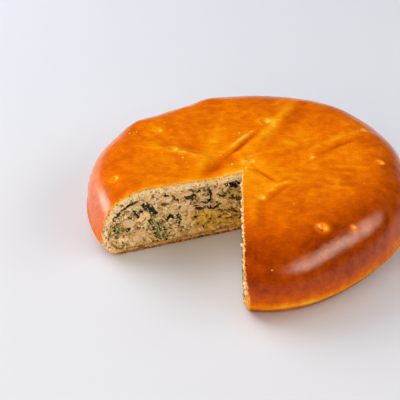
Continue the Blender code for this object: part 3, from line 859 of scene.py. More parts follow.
@dataclass
class DoughCrust:
    """The whole crust: its glazed skin, the dough seen in the two cuts, and the wall of the room.

    Attributes:
        form: the pie's form.
        turns: rows of points from the right cut round to the left one.
        columns: points on the flat top, down the shoulder, down the flank and across the base.
        layers: points through the dough's thickness in a cut.
        inner_turns: rows of points on the wall of the room, which shows only at the cuts.
        overhang, drawn_back: how far the skin's edge hangs over the right cut high up, and is drawn
            back from it low down.
        tear_reach: distance from the cut over which these moves fall off.
        pattern: how brown each part of the skin is.
    """

    form: PieForm
    turns: int = 430
    columns: tuple[int, int, int, int] = (100, 44, 24, 20)
    layers: int = 8
    inner_turns: int = 24
    overhang: float = 0.8 * MM
    drawn_back: float = 3.6 * MM
    tear_reach: float = 4.5 * MM
    pattern: BakePattern = BakePattern()

    def __post_init__(self) -> None:
        """Works out the outer and inner surfaces, whose first and last rows lie in the cuts."""
        form = self.form
        ends = np.radians([Side.RIGHT.value, Side.LEFT.value + 360])
        turn = np.linspace(ends[0], ends[1], self.turns)[:, None]
        self.outer = self.tear(self.relieve(self.loop(turn, 0.0, 0.0, 0.0), True))
        turn = np.linspace(ends[0], ends[1], self.inner_turns)[:, None]
        inner = self.loop(turn, form.side_dough, form.top_dough, form.base_dough)
        self.inner = self.relieve(inner, False)

    def loop(self, turn: np.ndarray, inset: float, drop: float, lift: float) -> np.ndarray:
        """One side of the dough along rays from the wedge's tip: top, shoulder, flank and base.

        Args:
            turn: (rows, 1) directions of the rays.
            inset: how far inside the outer side.
            drop: how far below the outer top.
            lift: how far above the outer base.

        Returns:
            (rows, columns, 3) places, before the move to the origin.
        """
        form, tip = self.form, np.array(self.form.tip)
        top, shoulder, flank, base = self.columns
        shoulder_radius, shoulder_z = form.shoulder(np.linspace(0, 1, shoulder), inset, drop)
        flank_radius, flank_z = form.flank(np.linspace(0, 1, flank)[1:], inset, lift)
        radius, z = np.append(shoulder_radius, flank_radius), np.append(shoulder_z, flank_z)
        if inset == 0:
            seam = np.exp(-(((z - form.seam_height) / form.seam_half_width) ** 2))
            radius = radius + form.seam_reach * seam
        side = form.reach(turn, radius[None], tip)
        flat = side[:, :1] * np.arange(top)[None] / top
        floor = side[:, -1:] * (1 - np.arange(1, base + 1)[None] / base)
        distance = np.concatenate([flat, side, floor], axis=1)
        heights = np.concatenate([np.full(top, form.height - drop), z, np.full(base, lift)])
        x = tip[0] + distance * np.cos(turn)
        y = tip[1] + distance * np.sin(turn)
        return np.stack([x, y, np.broadcast_to(heights, x.shape)], axis=-1)

    def relieve(self, points: np.ndarray, outside: bool) -> np.ndarray:
        """Adds the top's broad relief, and on the outside its folds, wrinkles and dimples."""
        x, y, z = points[..., 0], points[..., 1], points[..., 2]
        if outside:
            relief = self.form.skin_relief(x, y) - 1.15 * self.form.dimple(x, y, 1.15)
        else:
            relief = self.form.broad_relief(x, y)
        lifted = points.copy()
        lifted[..., 2] = z + relief * self.form.upper_share(z)
        return lifted

    def tear(self, points: np.ndarray) -> np.ndarray:
        """Moves the skin's edge at the right cut, as the knife left it.

        High up it hangs over the cut, and low down, far from the tip, it is drawn back. The move
        falls off as exp(-distance / tear_reach) from the cut, so that rows never cross.
        """
        out = Side.RIGHT.normal
        tip = np.array([*self.form.tip, 0.0])
        inside = -((points - tip) @ out)
        along = (points - tip) @ Side.RIGHT.along
        z = points[..., 2]
        over = self.overhang * smoothstep(30 * MM, 46 * MM, z) * smoothstep(3 * MM, 22 * MM, along)
        low = 1 - smoothstep(14 * MM, 42 * MM, z)
        back = self.drawn_back * low * smoothstep(88 * MM, 108 * MM, along)
        move = (over - back) * np.exp(-np.maximum(inside, 0) / self.tear_reach)
        return points + move[..., None] * out

    def bake(self, points: np.ndarray) -> np.ndarray:
        """How brown the skin is, from 0, pale, to 1, dark.

        It grows over the shoulder, most at the front. Ridges, holes, the place round the wedge's
        tip and the edge of the left cut stay pale, and grooves and creases go dark, partly as painted
        shade. The right flank is paler low down. A golden band runs round the foot, strongest at
        the front, above a dark rim at the very bottom, a painted shadow under the bulge.
        """
        x, y, z = points[..., 0], points[..., 1], points[..., 2]
        form, pattern = self.form, self.pattern
        radius = np.hypot(x, y) / form.widest_radius
        turn = np.arctan2(y, x)
        front = (0.5 + 0.5 * np.cos(turn - pattern.front_turn)) ** 2
        shoulder = smoothstep(0.62, 0.93, radius) * smoothstep(8 * MM, 30 * MM, z)
        level = pattern.middle + pattern.outward * smoothstep(0.1, 0.75, radius)
        level = level + pattern.front * front * smoothstep(0.2, 0.9, radius)
        level = level + shoulder * (pattern.shoulder_all_round + pattern.shoulder * front)
        outer = smoothstep(0.8, 0.86, radius)
        right = (0.5 + 0.5 * np.cos(turn - pattern.right_turn)) ** 3
        level = level - pattern.right * right * (1 - smoothstep(16 * MM, 36 * MM, z)) * outer
        share = (turn - pattern.golden_turn) / pattern.golden_spread
        golden = pattern.golden_all_round + pattern.golden_front * np.exp(-(share**2))
        # Painted shadow: the rim at the very bottom is darkened, as under the bulge near the tray.
        painted_foot_shadow = pattern.painted_foot_shadow * (1 - smoothstep(8 * MM, 10.5 * MM, z))
        level = level - (golden * (1 - smoothstep(12 * MM, 18 * MM, z)) - painted_foot_shadow) * outer
        upper = form.upper_share(z)
        # Ridges stay paler, and grooves and creases go darker, partly as painted shade.
        folds = np.clip(form.fold_relief(x, y, FOLDS) / pattern.fold_height, -0.8, 1.0)
        creases = np.clip(form.fold_relief(x, y, WRINKLES) / pattern.wrinkle_height, -1.5, 1.0)
        level = level - (pattern.folds * folds + pattern.creases * creases) * upper
        holes = np.clip(form.dimple(x, y, 1.0) / pattern.fold_height, 0, 1)
        level = level - pattern.holes * holes * upper
        tip = np.array(form.tip)
        from_tip = np.hypot(x - tip[0] - 6 * MM, y - tip[1] + 8 * MM)
        level = level - pattern.tip * np.exp(-((from_tip / (20 * MM)) ** 2)) * upper
        left = np.abs((points[..., :2] - tip) @ Side.LEFT.normal[:2])
        edge = np.exp(-left / (3.0 * MM)) * (x < tip[0])
        level = level - pattern.edge * edge * smoothstep(25 * MM, 45 * MM, z)
        place = points * np.array([1, 1, 0.6])
        level = level + pattern.mottle * value_noise(place, 16 * MM, 61)
        level = level + pattern.mottle * value_noise(place, 5 * MM, 62)
        palest, darkest = pattern.limits
        darkest = darkest - pattern.flank_limit * (1 - smoothstep(18 * MM, 34 * MM, z))
        return np.clip(level, palest, darkest)

    def ragged(self, points: np.ndarray, side: Side, amount: float) -> np.ndarray:
        """Moves of a cut's surface in and out of its plane, by noise, fading towards the tip."""
        tip = np.array(self.form.tip)
        near = smoothstep(1 * MM, 8 * MM, np.hypot(points[..., 0] - tip[0], points[..., 1] - tip[1]))
        uneven = value_noise(points, 2.6 * MM, 11) + 0.8 * value_noise(points, 1.4 * MM, 12)
        return (amount * near * uneven)[..., None] * side.normal

    def dough_tint(self, points: np.ndarray, depth: np.ndarray) -> np.ndarray:
        """Tint of the dough in a cut: amber at the skin, then yellow, then cream.

        Near the filling and low down it turns golden and specked. The base is granular and brown, and
        the slanted outer end of the front is amber.

        Args:
            points: places in the cut.
            depth: 0 at the skin to 1 at the filling.
        """
        tint = blend(tint_of("#F08A0C"), tint_of("#FFC040"), smoothstep(0.0, 0.10, depth))
        tint = blend(tint, tint_of("#FFE9B4"), smoothstep(0.06, 0.28, depth))
        tint = blend(tint, tint_of("#FFE2B0"), smoothstep(0.4, 1.0, depth))
        inner = smoothstep(0.3, 0.7, depth)
        golden = inner * (1 - smoothstep(7 * MM, 12 * MM, points[..., 2]))
        tint = blend(tint, tint_of("#E6B456"), 0.8 * golden)
        speck = random_tints(SPECK_TINTS, 0.5 + 0.5 * value_noise(points, 2.3 * MM, 19))
        specked = inner * smoothstep(0.42, 0.55, value_noise(points, 1.5 * MM, 18))
        tint = blend(tint, speck, 0.8 * specked)
        speckle = value_noise(points, 1.3 * MM, 15)
        tint = tint * (1 + 0.13 * speckle)[..., None]
        granular = random_tints(BASE_TINTS, 0.5 + 0.5 * value_noise(points, 1.6 * MM, 17))
        frontmost = 1 - smoothstep(-120 * MM, -104 * MM, points[..., 1])
        slanted = frontmost * (1 - smoothstep(22 * MM, 34 * MM, points[..., 2]))
        tint = blend(tint, tint_of("#F2A030") * (1 + 0.3 * speckle)[..., None], 0.8 * slanted)
        return blend(tint, granular, 1 - smoothstep(1.3 * MM, 3.4 * MM, points[..., 2]))

    def ring(self, side: Side) -> tuple[np.ndarray, np.ndarray]:
        """The outer and inner edges of the dough in a cut, in the pie's frame."""
        row = 0 if side is Side.RIGHT else -1
        return self.outer[row] - self.form.middle(), self.inner[row] - self.form.middle()

    def build(self) -> bpy.types.Object:
        """Builds the crust as one closed surface and dresses it."""
        middle = self.form.middle()
        for row, side in ((0, Side.RIGHT), (-1, Side.LEFT)):
            self.outer[row] += self.ragged(self.outer[row], side, 0.3 * MM)
        surface = Surface()
        surface.add_grid(self.outer - middle, tint_of(SKIN_TINT), self.bake(self.outer))
        surface.add_grid(self.inner - middle, tint_of("#D8B478"), material=1)
        for row, side in ((0, Side.RIGHT), (-1, Side.LEFT)):
            share = np.linspace(0, 1, self.layers)[:, None] ** 1.4
            cut = self.outer[row] + (self.inner[row] - self.outer[row]) * share[..., None]
            cut[1:-1] += self.ragged(cut[1:-1], side, 0.6 * MM)
            depth = np.broadcast_to(share, cut.shape[:2])
            surface.add_grid(cut - middle, self.dough_tint(cut, depth), material=1)
        crust = surface.build("crust_dough", 0.002 * MM, EGG_GLAZE, DOUGH_CRUMB)
        crust.data.set_sharp_from_angle(angle=math.radians(50))
        return crust


@dataclass
class SteamHoles:
    """Fine lens-shaped patches over the crust's dimples, each with its small deep hole.

    Attributes:
        crust: the crust they lie on.
        rings: rings of points from a patch's middle to its edge.
        steps: points round each ring.
        reach: a patch's radius as a share of the pressed ball's.
        painted_light_turn: direction of the side of the lip towards the light, painted paler as a
            painted highlight.
        dimple_share: how much of the dimple is shaped, as the lip fills a part of it.
        lip_height, lip_width: height and half width of the lip, as shares of the dimple's depth and
            of the ball's radius.
        deep_share, deep_width: depth and radius of the hole, as shares of the ball's radius.
        golden_reach, golden_bake: how far the golden colour reaches, and its bake level.
        lift: how far the patch's edge is sunk in the skin, and how far its middle stands above it.
        sag: thickness of the patch in its middle.
    """

    crust: DoughCrust
    rings: int = 26
    steps: int = 40
    reach: float = 2.3
    painted_light_turn: float = 0.35
    dimple_share: float = 0.7
    lip_height: float = 0.22
    lip_width: float = 0.24
    deep_share: float = 0.35
    deep_width: float = 0.36
    golden_reach: float = 1.35
    golden_bake: float = 0.16
    lift: float = 0.05 * MM
    sag: float = 1.2 * MM

    def patch(self, hole: SteamHole, surface: Surface) -> None:
        """Adds one patch: the skin with its dimple, a raised golden lip, and the hole in its middle.
        The lip's side towards the light carries a painted highlight, and the hole's far side painted
        shade.

        Over the distance d from the middle, as a share of the ball's radius, the height changes by
        a bell of exp(-d^3), a lip of exp(-((d - 1) / lip_width)^2) and the hole's
        exp(-(d / deep_width)^4). The golden colour fades out as exp(-(d / golden_reach)^4).
        """
        form = self.crust.form
        share = np.linspace(0, 1, self.rings)[:, None] * self.reach
        turn = np.linspace(0, 2 * math.pi, self.steps, endpoint=False)[None]
        radius = hole.radius * MM
        x = hole.x * MM + share * radius * np.cos(turn)
        y = hole.y * MM + share * radius * np.sin(turn)
        upper = form.upper_share(form.top_height(x, y))
        uneven = 1 + 0.25 * np.sin(turn + hole.x) + 0.12 * np.sin(2 * turn + hole.y)
        lip = self.lip_height * form.hole_depth * radius * uneven
        lip = lip * np.exp(-(((share - 1.0) / self.lip_width) ** 2))
        deep = self.deep_share * radius * hole.dark**0.5 * np.exp(-((share / self.deep_width) ** 4))
        dimple = self.dimple_share * form.dimple(x, y, 1.0)
        border = 1 - smoothstep(0.8, 1.0, share / self.reach)
        z = form.top_height(x, y) + (lip - deep) * upper - dimple * upper
        z = z + 2 * self.lift * border - self.lift
        points = np.stack([x, y, z], axis=-1)
        bake = self.crust.bake(points)
        # Painted highlight: the lip's side towards the light is painted paler and more golden, with a
        # bright painted streak along it.
        painted_lit = smoothstep(0.25, 0.95, np.cos(turn - self.painted_light_turn + 0.3 * np.sin(hole.x)))
        golden = np.exp(-((share / self.golden_reach) ** 4)) * (0.75 + 0.25 * painted_lit)
        bake = bake + (self.golden_bake - bake) * golden
        painted_glint = np.exp(-(((share - 0.74) / 0.22) ** 2)) * painted_lit
        # Painted shade: the bottom of the hole, towards its side away from the light, is painted
        # darker.
        painted_hollow_shade = np.exp(-((np.hypot(share * np.cos(turn) + 0.3, share * np.sin(turn)) / 0.45) ** 2))
        bake = np.clip(bake - 0.05 * painted_glint + 0.24 * hole.dark * painted_hollow_shade, 0.0, 1.0)
        under = points.copy()
        under[..., 2] -= self.sag * (1 - (share / self.reach) ** 2)
        middle = form.middle()
        for sheet in (points, under):
            surface.add_grid(sheet - middle, tint_of(SKIN_TINT), bake, wrap=True)

    def build(self) -> bpy.types.Object:
        """Builds every patch in one mesh, of the crust's own finish."""
        surface = Surface()
        for hole in STEAM_HOLES:
            self.patch(hole, surface)
        return surface.build("steam_holes", 0.002 * MM, EGG_GLAZE)


@dataclass
class GlazeBlisters:
    """Tiny pale bubbles that the egg glaze left on the top, some listed one by one, the rest scattered
    by a seed.

    Attributes:
        crust: the crust they lie on.
        spots: places of the larger ones in mm, with their radii.
        scattered: number of the smaller ones.
    """

    crust: DoughCrust
    spots: tuple[tuple[float, float, float], ...] = (
        (-98, 45, 1.0), (-92, 45, 0.9), (-108, 19, 0.8), (-102, 16, 0.7), (-71, 13, 0.8), (-54, 8, 0.9),
        (-51, 0, 0.8), (-15, -2, 1.3), (-8, 46, 1.1), (2, 47, 1.0), (-24, 13, 0.9), (3, 16, 0.7),
        (11, 19, 0.8), (-4, -9, 1.2), (79, 28, 0.7), (47, -18, 0.7), (11, -124, 0.9), (14, 13, 0.6),
        (-70, 60, 0.6), (30, -60, 0.6), (60, 60, 0.6), (86, -30, 0.6),
    )
    scattered: int = 110

    def build(self) -> bpy.types.Object:
        """Builds every bubble as a low dome, sunk to its waist in the skin; larger ones are paler,
        partly as a painted highlight.
        """
        form = self.crust.form
        rng = np.random.default_rng(19)
        angle = rng.uniform(0, 2 * math.pi, self.scattered)
        away = 112 * MM * np.sqrt(rng.random(self.scattered))
        spots = np.array(self.spots) * MM
        x = np.concatenate([spots[:, 0], away * np.cos(angle)])
        y = np.concatenate([spots[:, 1], away * np.sin(angle)])
        size = np.concatenate([0.8 * spots[:, 2], rng.uniform(0.25, 0.45, self.scattered) * MM])
        heading = (np.degrees(np.arctan2(y - form.tip[1], x - form.tip[0])) + 360) % 360
        kept = (heading < Side.LEFT.value - 3) | (heading > Side.RIGHT.value + 3)
        x, y, size = x[kept], y[kept], size[kept]
        z = form.top_height(x, y) - form.dimple(x, y, 1.0)
        middle = np.stack([x, y, z], axis=-1) - form.middle()
        points, quads = ball(7, 10)
        flat = np.stack([size, size, 0.6 * size], axis=-1)
        surface = Surface()
        # Painted highlight in part: the larger bubbles are painted paler, standing for small glints of
        # the glaze.
        bake = np.where(size > 0.7 * MM, 0.06, np.where(size > 0.46 * MM, 0.16, 0.32))
        domes = middle[:, None] + points[None] * flat[:, None]
        surface.add_many(domes, quads, tint_of(SKIN_TINT), bake)
        return surface.build("glaze_blisters", 0.0005 * MM, EGG_GLAZE)


@dataclass
class FillingCore:
    """The filling's crumbly body, which runs through the pie a little behind the two cuts.

    Attributes:
        form: the pie's form.
        along: points along a cut.
        up: points up a cut.
        turns: rows of points round the hidden outside.
        gap: room left between it and the crust.
        recess: how far it stays behind the planes of the cuts.
    """

    form: PieForm
    along: int = 250
    up: int = 100
    turns: int = 36
    gap: float = 0.3 * MM
    recess: float = 1.2 * MM

    def __post_init__(self) -> None:
        """Works out the tip of the recessed wedge."""
        half = math.radians(Side.RIGHT.value - Side.LEFT.value) / 2
        bisector = Side.LEFT.turn + half
        back = self.recess / math.sin(half)
        self.tip = np.array(self.form.tip) - back * np.array([math.cos(bisector), math.sin(bisector)])

    def place(self, turn: np.ndarray, out: np.ndarray, rise: np.ndarray) -> np.ndarray:
        """Place in the filling.

        Args:
            turn: direction from the tip.
            out: 0 at the tip to 1 at the side.
            rise: 0 at the base to 1 at the top.
        """
        form = self.form
        inset, low = form.side_dough + self.gap, form.base_dough + self.gap
        high = form.height - form.top_dough - self.gap
        z = low + (high - low) * (1 - (1 - rise) ** 1.5)
        radius = form.room_radius(z, inset, low, high)
        distance = out * form.reach(turn + 0 * radius, radius, self.tip)
        x = self.tip[0] + distance * np.cos(turn)
        y = self.tip[1] + distance * np.sin(turn)
        z = z + form.broad_relief(x, y) * form.upper_share(z)
        return np.stack([x, y, z], axis=-1)

    def crumble(self, flat: np.ndarray, seed: int) -> tuple[np.ndarray, np.ndarray]:
        """Relief and tint of a cut, from crumbs of three sizes and a few deep holes.

        The body is cream; its lower part next to the tip is yellow and fibrous, partly a painted
        shadow warmed by the crust, and its top paler. The spaces between crumbs and the holes are
        darkened as painted shade.

        Args:
            flat: (..., 2) places in the cut, along and up.
            seed: number of the cut.
        """
        solid = np.concatenate([flat, np.full(flat.shape[:-1] + (1,), seed * 0.05)], axis=-1)
        shift = [value_noise(solid, 2.2 * MM, number) for number in (3, 4)]
        bent = flat + 0.9 * MM * np.stack(shift, axis=-1)
        near_big, big = cell_noise(bent, 4.4 * MM, seed)
        near_small, small = cell_noise(bent, 1.5 * MM, seed + 7)
        broad = value_noise(solid, 9 * MM, seed + 1)
        hole = smoothstep(0.45, 0.75, value_noise(solid * np.array([0.7, 1.3, 1]), 2.4 * MM, seed + 2))
        relief = 0.9 * (0.45 - near_big) + 0.8 * (0.45 - near_small) + 0.35 * broad - 1.6 * hole
        along, up = flat[..., 0], flat[..., 1]
        tint = random_tints(BODY_TINTS, big)
        fibre = value_noise(bend(solid) * np.array([0.35, 1.5, 1]), 1.8 * MM, seed + 5)
        yellow = blend(tint_of("#F0BE40"), tint_of("#A07214"), smoothstep(-0.1, 0.7, fibre))
        # Painted shadow: the lower corner next to the tip takes a warm, darker yellow, partly the
        # filling's own fibrous tint.
        painted_shadow_corner = (1 - smoothstep(30 * MM, 58 * MM, along)) * (1 - smoothstep(19 * MM, 29 * MM, up))
        tint = blend(tint, yellow, 0.85 * painted_shadow_corner)
        tint = blend(tint, tint_of("#FFE2A4"), 0.6 * smoothstep(38 * MM, 46 * MM, up))
        tint = tint * (0.86 + 0.40 * small[..., None])
        speck = random_tints(SPECK_TINTS, np.mod(small * 17, 1))
        specked = (small > 0.90 + 0.06 * painted_shadow_corner) & (near_small < 0.45)
        tint = blend(tint, speck, specked * 0.85)
        # Painted shade: the spaces between crumbs and the holes are darkened.
        painted_gap_shade = 0.42 * smoothstep(0.5, 0.85, near_big) + 0.30 * smoothstep(0.42, 0.72, near_small)
        shade = (1 - 0.75 * hole) * (1 - painted_gap_shade)
        return relief * MM, tint * shade[..., None]

    def build(self) -> bpy.types.Object:
        """Builds the core as one closed surface and dresses it."""
        middle = self.form.middle()
        surface = Surface()
        out = np.linspace(0, 1, self.along)
        rise = np.linspace(0, 1, self.up)
        plain = tint_of("#D2AE6A")
        ends = {Side.RIGHT: Side.RIGHT.turn, Side.LEFT: math.radians(Side.LEFT.value + 360)}
        for side, turn in ends.items():
            points = self.place(turn + 0 * rise[:, None] * out, out[None], rise[:, None])
            distance = np.hypot(points[..., 0] - self.tip[0], points[..., 1] - self.tip[1])
            flat = np.stack([distance, points[..., 2]], axis=-1)
            relief, tint = self.crumble(flat, 20 if side is Side.LEFT else 40)
            edge = np.minimum(
                np.minimum(smoothstep(0, 0.03, out), smoothstep(0, 0.012, 1 - out))[None],
                np.minimum(smoothstep(0, 0.02, rise), smoothstep(0, 0.04, 1 - rise))[:, None],
            )
            surface.add_grid(points + (relief * edge)[..., None] * side.normal - middle, tint)
        turn = np.linspace(ends[Side.RIGHT], ends[Side.LEFT], self.turns)[:, None]
        one = np.ones((1, 1))
        for sheet in ((one, rise[None]), (out[None], one), (out[None], 0 * one)):
            surface.add_grid(self.place(turn, *sheet) - middle, plain)
        return surface.build("filling_core", 0.002 * MM, CREAM_FILLING)


def bend(points: np.ndarray) -> np.ndarray:
    """The same places shifted up and down by broad noise, which bends a pattern drawn on them."""
    shift = 2.5 * MM * value_noise(points, 8 * MM, 91)
    return points + shift[..., None] * np.array([0, 1, 0])


@dataclass(frozen=True)
class CutPiece:
    """A piece that shows in a cut.

    Attributes:
        along, up: its middle, in mm from the wedge's tip and from the table.
        width, thickness: its size in the cut, in mm.
        tilt: how far its width is turned up from level, in degrees.
    """

    along: float
    up: float
    width: float
    thickness: float
    tilt: float


def cut_pieces(rows: tuple) -> tuple[CutPiece, ...]:
    """Makes the pieces of a table, one for each row."""
    return tuple(CutPiece(*row) for row in rows)


class Tone(Enum):
    """Colours of the thin pieces: of the middle of their section, and of its edge."""

    DARK_LEAF = ("#1C1E0C", "#0C0D06")
    LEAF = ("#46561E", "#161C0A")
    LIGHT_LEAF = ("#94A046", "#4A5A20")
    STEM = ("#C0BC74", "#8A8A44")
    MUSHROOM_CAP = ("#4A2E18", "#160E06")
    MUSHROOM_GILL = ("#4A3A3C", "#1C1618")
    MUSHROOM_MEAT = ("#B88E58", "#7A5630")
    ONION = ("#D8A850", "#8E6426")


@dataclass(frozen=True)
class Strand:
    """A thin bent piece seen edge-on in a cut.

    Attributes:
        tone: its colours.
        thickness: its thickness in mm.
        path: places in mm, along the cut and up, that its line runs through.
    """

    tone: Tone
    thickness: float
    path: tuple[tuple[float, float], ...]


CHICKEN = {
    Side.LEFT: cut_pieces((
        (55, 33, 17, 10, 10),
        (82, 31, 9, 11, 30),
        (64, 42, 9, 5, 15),
        (58, 13, 10, 7, 70),
        (34, 37, 8, 6, 0),
        (22, 41, 8, 4, 10),
        (46, 46, 9, 4, 0),
        (95, 27, 9, 7, -20),
        (100, 14, 9, 7, 10),
        (85, 14, 12, 8, -15),
        (43, 31, 7, 5, 20),
        (72, 44, 7, 4, -10),
    )),
    Side.RIGHT: cut_pieces((
        (93, 24, 16, 14, 0),
        (75, 27, 12, 16, 20),
        (53, 42, 16, 8, 20),
        (23, 36, 10, 8, 0),
        (60, 17, 12, 8, 0),
        (39, 26, 11, 8, -30),
        (88, 39, 11, 6, 15),
        (23, 19, 9, 8, 0),
        (71, 44, 10, 5, 10),
        (104, 12, 9, 7, -20),
        (41, 12, 10, 6, 0),
        (9, 38, 8, 7, 0),
    )),
}
CHICKEN_TINTS = ("#F6D09C", "#EEC590", "#FFE0AE", "#ECC49A", "#F8D49C")
# The loose crumbs: cream, chicken, and at the end the darker ones of leaf and mushroom.
LOOSE_TINTS = (
    "#FBE2A6", "#F6D898", "#EEC984", "#FFF0C4", "#E2B86C", "#F3CFA2", "#ECC4A0", "#A8924A", "#6E6030",
    "#84602E",
)
LEAF_STRANDS = {
    Side.LEFT: (
        Strand(Tone.DARK_LEAF, 4.4, ((83, 42), (79, 38.5), (75, 35), (71, 31))),
        Strand(Tone.LIGHT_LEAF, 1.2, ((80, 36), (76, 32), (72, 28))),
        Strand(Tone.LEAF, 1.6, ((80, 40), (77, 34), (76, 29))),
        Strand(Tone.DARK_LEAF, 1.3, ((79, 29), (75, 19), (72, 8))),
        Strand(Tone.LEAF, 1.4, ((77, 28), (74, 18), (70, 7))),
        Strand(Tone.LIGHT_LEAF, 1.5, ((76, 27), (72, 18), (69, 7))),
        Strand(Tone.STEM, 1.1, ((75, 27), (71, 17), (67, 6))),
        Strand(Tone.LEAF, 1.3, ((73, 25), (69, 16), (66, 6))),
        Strand(Tone.LIGHT_LEAF, 1.4, ((71, 24), (68, 15), (64, 6))),
        Strand(Tone.STEM, 0.9, ((70, 23), (66, 14), (63, 6))),
        Strand(Tone.DARK_LEAF, 0.9, ((69, 22), (66, 14), (62, 6))),
        Strand(Tone.DARK_LEAF, 1.7, ((66, 26), (63, 24.5), (60, 26), (57, 23.5), (54, 24.5), (51, 20))),
        Strand(Tone.DARK_LEAF, 1.9, ((55, 22), (53, 19), (54, 15))),
        Strand(Tone.LEAF, 1.3, ((39, 43), (34, 44.5), (28, 43.5))),
        Strand(Tone.DARK_LEAF, 1.6, ((28, 44), (27.5, 38), (28, 33))),
        Strand(Tone.LEAF, 1.9, ((28, 33), (32, 33), (36, 34))),
        Strand(Tone.DARK_LEAF, 1.2, ((40, 42), (39, 38), (38, 35))),
        Strand(Tone.DARK_LEAF, 4.2, ((12, 46), (8, 44), (5, 41))),
        Strand(Tone.LEAF, 1.5, ((16, 45), (12, 44.5), (9, 44))),
        Strand(Tone.LEAF, 2.6, ((12, 32), (7, 32), (1, 29))),
        Strand(Tone.DARK_LEAF, 1.8, ((91, 38), (88, 35), (87, 30))),
        Strand(Tone.LEAF, 1.5, ((95, 33), (91, 31))),
        Strand(Tone.DARK_LEAF, 1.8, ((6, 47), (3, 44))),
        Strand(Tone.LIGHT_LEAF, 1.4, ((104, 29), (103, 24), (100, 20))),
    ),
    Side.RIGHT: (
        Strand(Tone.LEAF, 2.2, ((30, 38), (28, 44), (22, 46), (17, 44), (16, 38))),
        Strand(Tone.DARK_LEAF, 3.0, ((62, 34), (58, 30), (55, 24), (50, 20))),
        Strand(Tone.DARK_LEAF, 3.5, ((55, 22), (48, 24), (44, 20))),
        Strand(Tone.LEAF, 3.6, ((52, 16), (46, 12), (40, 12))),
        Strand(Tone.LEAF, 2.5, ((8, 30), (7, 25))),
        Strand(Tone.LIGHT_LEAF, 1.8, ((36, 28), (34, 22))),
        Strand(Tone.DARK_LEAF, 2.2, ((86, 44), (81, 43), (78, 40))),
        Strand(Tone.LEAF, 2.0, ((72, 38), (67, 37), (64, 39))),
        Strand(Tone.LEAF, 2.4, ((102, 38), (98, 36), (96, 30))),
        Strand(Tone.DARK_LEAF, 2.0, ((91, 12), (86, 10), (80, 12))),
        Strand(Tone.STEM, 1.4, ((70, 26), (66, 22), (64, 16))),
    ),
}
MUSHROOM_STRANDS = {
    Side.LEFT: (
        Strand(Tone.MUSHROOM_CAP, 4.2, ((105, 31), (104, 35), (101, 39))),
        Strand(Tone.MUSHROOM_CAP, 1.2, ((101, 40), (97, 42), (91, 44), (86, 45))),
        Strand(Tone.MUSHROOM_MEAT, 2.4, ((99, 35), (97, 38), (93, 39))),
        Strand(Tone.MUSHROOM_GILL, 4.2, ((49, 42), (45, 40), (41, 38))),
        Strand(Tone.MUSHROOM_CAP, 1.3, ((60, 44), (56, 41), (52, 38))),
        Strand(Tone.MUSHROOM_CAP, 1.7, ((41, 29), (36, 27.5), (32, 28))),
        Strand(Tone.MUSHROOM_CAP, 2.0, ((30, 27), (25, 26.5), (21, 26.5))),
        Strand(Tone.MUSHROOM_MEAT, 1.6, ((20, 22), (13, 21), (7, 21))),
        Strand(Tone.MUSHROOM_GILL, 1.3, ((22, 39), (18, 36), (14, 37))),
        Strand(Tone.ONION, 2.0, ((56, 10), (50, 9), (45, 10))),
    ),
    Side.RIGHT: (
        Strand(Tone.MUSHROOM_CAP, 3.2, ((111, 35), (107, 40), (101, 43))),
        Strand(Tone.MUSHROOM_CAP, 2.4, ((90, 47), (84, 46.5), (78, 46))),
        Strand(Tone.MUSHROOM_GILL, 2.6, ((49, 39), (42, 38), (34, 37))),
        Strand(Tone.MUSHROOM_CAP, 2.2, ((68, 9), (62, 8), (58, 9))),
        Strand(Tone.MUSHROOM_MEAT, 2.4, ((20, 30), (14, 27), (9, 24))),
        Strand(Tone.ONION, 2.2, ((94, 36), (88, 34), (83, 35))),
    ),
}


# Heights in mm between which the places of scattered strands stay, clear of the dough.
STRAND_HEIGHTS = (5.0, 47.0)


